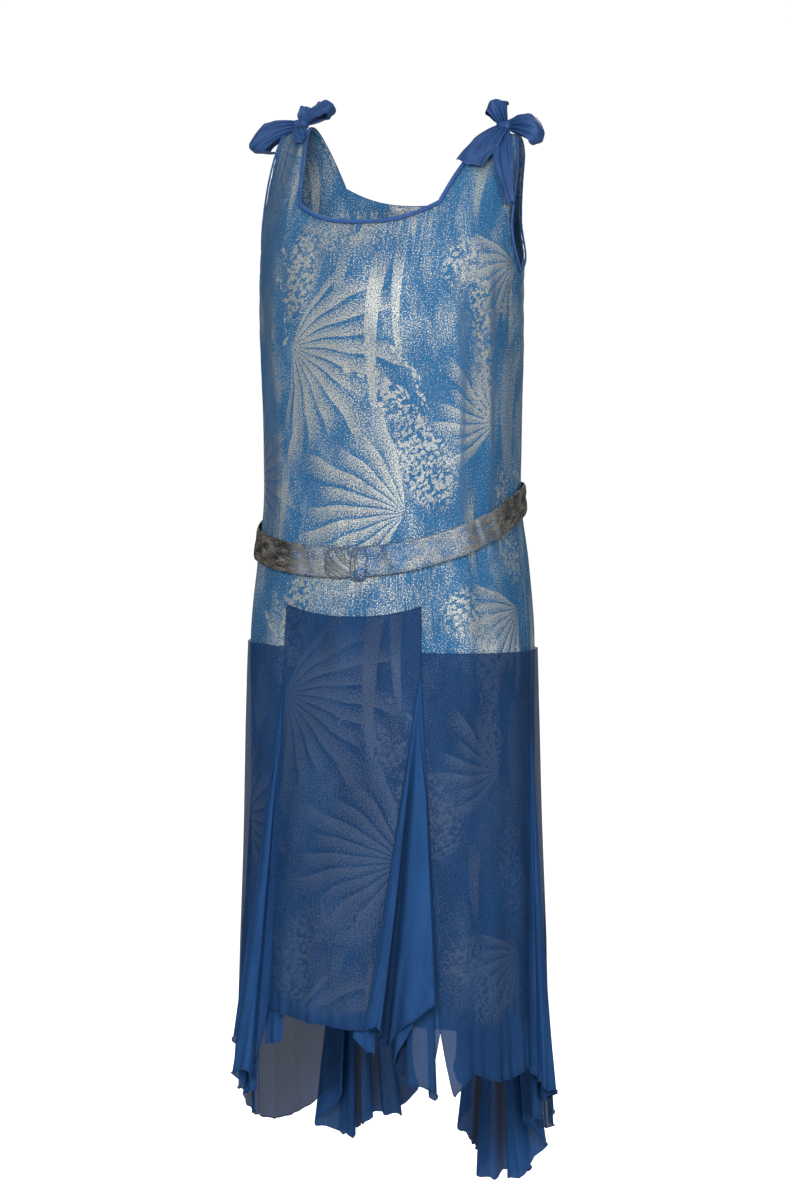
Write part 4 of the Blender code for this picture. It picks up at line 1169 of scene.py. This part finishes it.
def build_skirt():
    for name in PANELS["name"]:
        hang("skirt", name, CHIFFON, [panel_grid(name)])
    for name in GODETS["name"]:
        grids = [godet_grid(name)] + [under_fold_grid(*fold) for fold in UNDER_FOLDS.get(name, ())]
        hang("godet", name, BACK_CHIFFON if "back" in name else GODET_CHIFFON, grids)
    grids = []
    for angle, height, radius in seam_paths():
        path = skirt_point(angle, height, 0.0002)
        grids.append(cord_grid(path, outward(angle, height), radius, 0.7, 6))
    make_piece("skirt_seams", HEM_SILK, grids, tube=True)


# The belt.


def belt_tarnish(angle):
    """1 where the sash has gone brown: fully at the wearer's right, and less at the left."""
    turns = degrees_from(0.0, angle)
    right = (1 - smooth_step(-40.0, -14.0, turns)) * smooth_step(-150.0, -110.0, turns)
    left = 0.45 * smooth_step(26.0, 62.0, turns) + 0.55 * smooth_step(62.0, 86.0, turns)
    left = left * (1 - smooth_step(120.0, 150.0, turns))
    return np.maximum(right, 0.85 * left)


BELT_PADS = (
    # node, from and to across the front, half height, how far down, how proud, tilt of its creases
    ("belt_end", -0.0345, 0.0030, 0.0172, 0.0010, 0.0056, 0.9),
    ("belt_band", -0.0025, 0.0182, 0.0190, 0.0026, 0.0074, -0.25),
)
BELT_CREASE = 0.0022
BELT_LONG_FOLD = 0.0009
BELT_CLOTH = 0.0008
BELT_RADIUS = 0.1
PAD_DENT = 0.0009


def closed_cloth(face, behind, cloth):
    """A cloth's face and back as one tube, its columns round both."""
    grid = np.swapaxes(np.concatenate([face, behind[::-1]]), 0, 1)
    return [(grid, np.swapaxes(np.concatenate([cloth, cloth[::-1]]), 0, 1))]


def build_belt():
    across, up = share_grid(520, 18)
    inset = SEAM_GAP / BELT_RADIUS
    angle = math.radians(BELT_START) + inset + (2 * math.pi - 2 * inset) * across
    height = belt_height(angle) + (up - 0.5) * BELT_WIDTH
    run = angle * BELT_ROUND
    edge = 1 - (2 * up - 1) ** 8
    slant = run + 0.35 * (up - 0.5) * BELT_WIDTH
    crease = 0.5 + 0.5 * ripples(slant + 0.004 * np.sin(7 * angle), (0.031, 0.40, 0.3), (0.019, 0.34, 1.9),
                                 (0.0117, 0.26, 0.8))
    long_fold = hump(up - 0.62 - 0.16 * np.sin(3.1 * angle), 0.10)
    out = BELT_CREASE * edge * crease - BELT_LONG_FOLD * long_fold * edge
    face = figure_point(angle, height, BELT_STANDOFF + BELT_CLOTH + out)
    behind = figure_point(angle, height, BELT_STANDOFF)
    # The extra share: tarnish at the wearer's right and less at the left, and painted shade in the hollows
    # between the creases.
    shade = belt_tarnish(angle) + 0.25 * (1 - crease) * edge
    cloth = places_of(run, height - belt_height(angle), shade)
    sash = closed_cloth(face, behind, cloth)
    make_piece("belt_sash", SASH, sash, "belt", tube=True, flip=True)
    for pad in BELT_PADS:
        build_pad(*pad)


def build_pad(name, start, stop, half, down, proud, tilt):
    """Where the sash is looped over itself: a soft fold with rounded corners and creases drawn across it."""
    across = np.linspace(-1.0, 1.0, 61)[None, :]
    up = np.linspace(-1.0, 1.0, 61)[:, None]
    x = 0.5 * (start + stop) + 0.5 * (stop - start) * across * (1 - 0.24 * np.abs(up) ** 4)
    angle = np.sign(x) * angle_of(np.abs(x), BELT_MIDDLE - BELT_DIP)
    height = belt_height(angle) - down + up * half * (1 - 0.20 * np.abs(across) ** 4)
    edge = np.maximum((1 - across**4) * (1 - up**6), 0.0)
    run = 0.5 * (across + tilt * up + 0.15 * np.sin(2.3 * up + 1.0)) * (stop - start)
    dent = PAD_DENT * hump(up - 0.35, 0.16)
    crease = ripples(run, (0.0093, 0.0013, 0.4), (0.0057, 0.0007, 1.2)) - dent
    base = BELT_STANDOFF + 0.0004
    face = figure_point(angle, height, base + 0.0003 + (proud + crease) * edge)
    behind = figure_point(angle, height, base + 0 * edge)
    cloth = places_of(angle * BELT_ROUND + 0.4, height, 0.30 - 0.22 * across + 0 * up)
    pad = closed_cloth(face, behind, cloth)
    make_piece(name + "_sash", SASH, pad, name, tube=True, flip=True)


# The bows.

KNOT_X = 0.126
KNOT_HEIGHT = 0.0062
KNOT_REST = 0.0015
END_CLEAR = 0.0048
KNOT_SIZE = (0.0115, 0.0085, 0.0070)
ROUTE_COLUMN = 12
LOOP_GATHER = 0.0019
LOOP_CREASE = 0.0017
LOOP_RIPPLE = 0.0009
END_SWELL = 0.0018
END_GATHER = 0.0015
END_TWIST = 0.0012
LOOPS = {
    "name": ("right_outer", "right_inner", "left_upper", "left_outer"),
    "side": (-1, -1, 1, 1),
    "reach": ((-0.0600, -0.0060, -0.0080), (0.0370, 0.0130, 0.0230), (-0.0150, 0.0040, 0.0290),
              (0.0470, -0.0080, 0.0040)),
    "face": ((0.20, -0.93, 0.22), (-0.35, -0.90, 0.25), (0.36, -0.93, 0.05), (0.10, -0.95, 0.30)),
    "width": (0.0370, 0.0230, 0.0290, 0.0350),
    "depth": (0.0110, 0.0120, 0.0130, 0.0160),
    "droop": (0.0170, 0.0000, 0.0000, 0.0120),
    "pointed": (0.50, 0.30, 0.34, 0.26),
}
ENDS = {
    "name": ("right_upper", "right_short", "left_wide", "left_hanging"),
    "side": (-1, -1, 1, 1),
    "from": ((0.1240, 0.0020), (0.1220, -0.0020), (0.1220, -0.0020), (0.1280, -0.0020)),
    "to": ((0.1160, 0.0220), (0.1080, -0.0190), (0.1050, -0.0520), (0.1470, -0.0960)),
    "width": (0.0190, 0.0170, 0.0310, 0.0250),
    "narrow": (0.0, 0.0, 0.0, 0.38),
    "lift": (0.0110, 0.0070, 0.0065, 0.0070),
}


def knot_centre(side):
    point = figure_point(float(angle_of(KNOT_X, 0.0)) * side, 0.0).reshape(3)
    point[1] = SHOULDER_BACK
    point[2] += KNOT_REST + KNOT_HEIGHT
    return point


def loop_grid(name):
    loop = column_of(LOOPS, name)
    centre = knot_centre(loop["side"])
    reach = np.array(loop["reach"])
    length = np.linalg.norm(reach)
    ahead = unit(reach)
    across_way = unit(np.cross(np.array(loop["face"]), ahead))
    face = np.cross(ahead, across_way)
    face = face * math.copysign(1.0, float(face @ np.array(loop["face"])))
    across = shares(33)[None, :]
    up = shares(97)[:, None]
    start = 0.022
    turn = math.pi * (start + (1 - 2 * start) * up)
    far = np.sin(turn)
    lift = loop["depth"] * np.sin(2 * turn) * 0.5
    wide = loop["width"] * (0.26 + 0.74 * np.sin(math.pi * up) ** 0.75)
    bow = 0.16 * loop["width"] * (1 - (2 * across - 1) ** 2) * np.sin(math.pi * up) * np.sign(0.5 - up)
    gathers = LOOP_GATHER * (1 - far) ** 0.6 * np.sin(2 * math.pi * across * 4.0 + 1.0)
    folds = np.sin(2 * math.pi * (across * 1.5 + 0.4 * up) + loop["side"])
    folds = folds + 0.6 * np.sin(2 * math.pi * (across * 3.1 - 0.7 * up) + 2.0 + loop["side"])
    creases = LOOP_CREASE * folds * far
    hem = LOOP_RIPPLE * np.sin(up * 46.0 + 2.0) * (2 * across - 1) ** 6
    shift = (lift + bow + gathers + creases + hem)[..., None]
    round_end = 1 - loop["pointed"] * (2 * across - 1) ** 2 * far**5
    point = centre + ahead * (length * far * round_end)[..., None] + face * shift
    point = point + across_way * ((across - 0.5) * wide)[..., None]
    point[..., 2] -= loop["droop"] * (far * far * round_end)
    return point, places_of(across * loop["width"] + 0.1 * loop["side"], up * 2 * length, 0.0)


def end_grid(name):
    end = column_of(ENDS, name)
    side = end["side"]
    start = knot_centre(side)

    def middle(share):
        x = end["from"][0] + (end["to"][0] - end["from"][0]) * share
        height = end["from"][1] + (end["to"][1] - end["from"][1]) * share
        if end["to"][1] > 0:
            point = start + np.array([(x - end["from"][0]) * side, 0.35 * height, height])
            return point, unit((0.0, -0.8, 0.5))
        low = min(height, -0.0005)
        angle = float(angle_of(x, low)) * side
        normal = outward(np.array(angle), np.array(low)).reshape(3)
        laid = worn_shape(angle, height).reshape(3) + normal * (END_CLEAR + end["lift"] * (1 - share) ** 2)
        settled = float(smooth_step(0.0, 0.40, share))
        return start * (1 - settled) + laid * settled, normal

    rows, columns = 61, 25
    across = shares(columns)
    grid = np.zeros((rows, columns, 3))
    for row, up in enumerate(shares(rows)):
        point, normal = middle(up)
        ahead = min(up + 0.02, 1.0)
        tangent = unit(middle(ahead)[0] - middle(max(ahead - 0.04, 0.0))[0])
        sideways = unit(np.cross(tangent, normal))
        normal = np.cross(sideways, tangent)
        wide = end["width"] * (0.30 + 0.70 * float(smooth_step(0.0, 0.45, up)))
        wide = wide * (1 - end["narrow"] * float(smooth_step(0.50, 0.85, up)))
        ripple = END_SWELL * np.cos(2 * math.pi * across) * up
        ripple = ripple + END_GATHER * (1 - up) * np.sin(2 * math.pi * across * 3 + 0.6)
        ripple = ripple + END_TWIST * up * np.sin(2 * math.pi * (across * 2 + up * 1.5))
        slant = 0.20 * (across - 0.5) * wide * smooth_step(0.8, 1.0, up)
        grid[row] = point + sideways * ((across - 0.5) * wide)[:, None] + normal * ripple[:, None]
        grid[row] += tangent * slant[:, None]
    length = np.linalg.norm(grid[-1, ROUTE_COLUMN] - grid[0, ROUTE_COLUMN])
    share = shares(rows)[:, None]
    return grid, places_of(across[None] * end["width"], share * length, 0.0)


def knot_grid(side):
    """The knot: ribbon drawn tight round the loops' roots, in slanting folds."""
    centre = knot_centre(side)
    around = np.linspace(0.0, 2 * math.pi, 48, endpoint=False)[None, :]
    along = np.linspace(0.0, math.pi, 33)[:, None]
    along = np.clip(along, 0.08, math.pi - 0.08)
    fold = 1 + 0.085 * np.sin(5 * around + 3.0 * along * side) * np.sin(along) + 0.04 * np.sin(9 * around)
    squeeze = 1 - 0.20 * hump(np.cos(along), 0.35)
    x = centre[0] + 0.92 * KNOT_SIZE[0] * np.cos(along) * np.ones_like(around)
    y = centre[1] + KNOT_SIZE[1] * np.sin(along) * np.cos(around) * fold * squeeze
    z = centre[2] + KNOT_SIZE[2] * np.sin(along) * np.sin(around) * fold * squeeze
    return np.stack([x, y, z], -1), places_of(around * 0.006, along * 0.008, 0.0)


def build_bows():
    for side, word in ((-1, "right"), (1, "left")):
        knot = [knot_grid(side)]
        make_piece(f"bow_{word}_knot", RIBBON, knot, "bow_" + word, tube=True, flip=True)
        for table, kind, grid in ((LOOPS, "loop", loop_grid), (ENDS, "end", end_grid)):
            for index, name in enumerate(table["name"]):
                if table["side"][index] != side:
                    continue
                made = grid(name)
                piece = make_piece(f"bow_{name}_{kind}", RIBBON, [made], wall=RIBBON_WALL)
                width = table["width"][index]
                width * 1.06


# The camera, the lights and the floor.


def look_at(obj, target):
    way = Vector(target) - obj.location
    obj.rotation_euler = way.to_track_quat("-Z", "Y").to_euler()


AZIMUTH = math.radians(21.0)
ELEVATION = math.radians(2.8)
DISTANCE = 4.0
AIM_ASIDE = 0.0046
AIM_HEIGHT = -0.544
LENS = 104.4
SENSOR = 36.0
FLOOR_LEVEL = -1.75
FLOOR_REACH = 14.0
WHITE = (1.0, 1.0, 1.0, 1.0)
SKY_SEEN = 1.02
SKY_ON_CLOTH = 0.21
LIGHT_AIM = (0.0, 0.0, -0.55)


def build_camera():
    aim = Vector((math.cos(AZIMUTH) * AIM_ASIDE, math.sin(AZIMUTH) * AIM_ASIDE, AIM_HEIGHT))
    data = bpy.data.cameras.new("camera")
    data.lens = LENS
    data.sensor_width = SENSOR
    camera = link("camera", data)
    level = math.cos(ELEVATION) * DISTANCE
    camera.location = aim + Vector((math.sin(AZIMUTH) * level, -math.cos(AZIMUTH) * level,
                                    math.sin(ELEVATION) * DISTANCE))
    look_at(camera, aim)
    bpy.context.scene.camera = camera


LIGHTS = (
    # place, size, power
    ((0.6, -3.5, 0.9), 1.6, 120.0),
    ((2.8, -2.4, 0.6), 1.4, 42.0),
    ((-0.6, 3.4, 1.2), 2.2, 74.0),
    ((0.0, 0.0, 2.6), 1.6, 16.0),
)


def build_world():
    """White where it is seen, and a dimmer even light on the cloth."""
    world = bpy.data.worlds.new("studio")
    world.use_nodes = True
    nodes, links = world.node_tree.nodes, world.node_tree.links
    seen, dim = nodes["Background"], nodes.new("ShaderNodeBackground")
    for sky, strength in ((seen, SKY_SEEN), (dim, SKY_ON_CLOTH)):
        sky.inputs["Color"].default_value = WHITE
        sky.inputs["Strength"].default_value = strength
    path = nodes.new("ShaderNodeLightPath")
    mix = nodes.new("ShaderNodeMixShader")
    links.new(path.outputs["Is Camera Ray"], mix.inputs[0])
    links.new(dim.outputs[0], mix.inputs[1])
    links.new(seen.outputs[0], mix.inputs[2])
    links.new(mix.outputs[0], nodes["World Output"].inputs["Surface"])
    bpy.context.scene.world = world


def build_floor():
    data = bpy.data.meshes.new("floor")
    signs = ((-1, -1), (1, -1), (1, 1), (-1, 1))
    corners = [(x * FLOOR_REACH, y * FLOOR_REACH, FLOOR_LEVEL) for x, y in signs]
    data.from_pydata(corners, [], [(0, 1, 2, 3)])
    material = bpy.data.materials.new("floor_paint")
    material.use_nodes = True
    nodes, links = material.node_tree.nodes, material.node_tree.links
    shader = nodes["Principled BSDF"]
    shader.inputs["Base Color"].default_value = (0.80, 0.80, 0.80, 1.0)
    shader.inputs["Roughness"].default_value = 0.9
    shader.inputs["Emission Color"].default_value = WHITE
    path = nodes.new("ShaderNodeLightPath")
    links.new(path.outputs["Is Camera Ray"], shader.inputs["Emission Strength"])
    data.materials.append(material)
    link("floor", data)


def build_studio():
    for index, (place, size, power) in enumerate(LIGHTS):
        data = bpy.data.lights.new(f"soft_{index}", "AREA")
        data.shape = "DISK"
        data.size = size
        data.energy = power
        light = link(f"soft_{index}", data)
        light.location = place
        look_at(light, LIGHT_AIM)
    build_world()
    build_floor()
    bpy.context.scene.view_settings.view_transform = "Standard"


build_camera()
build_studio()
build_tunic()
build_skirt()
build_belt()
build_bows()

bpy.context.view_layer.update()
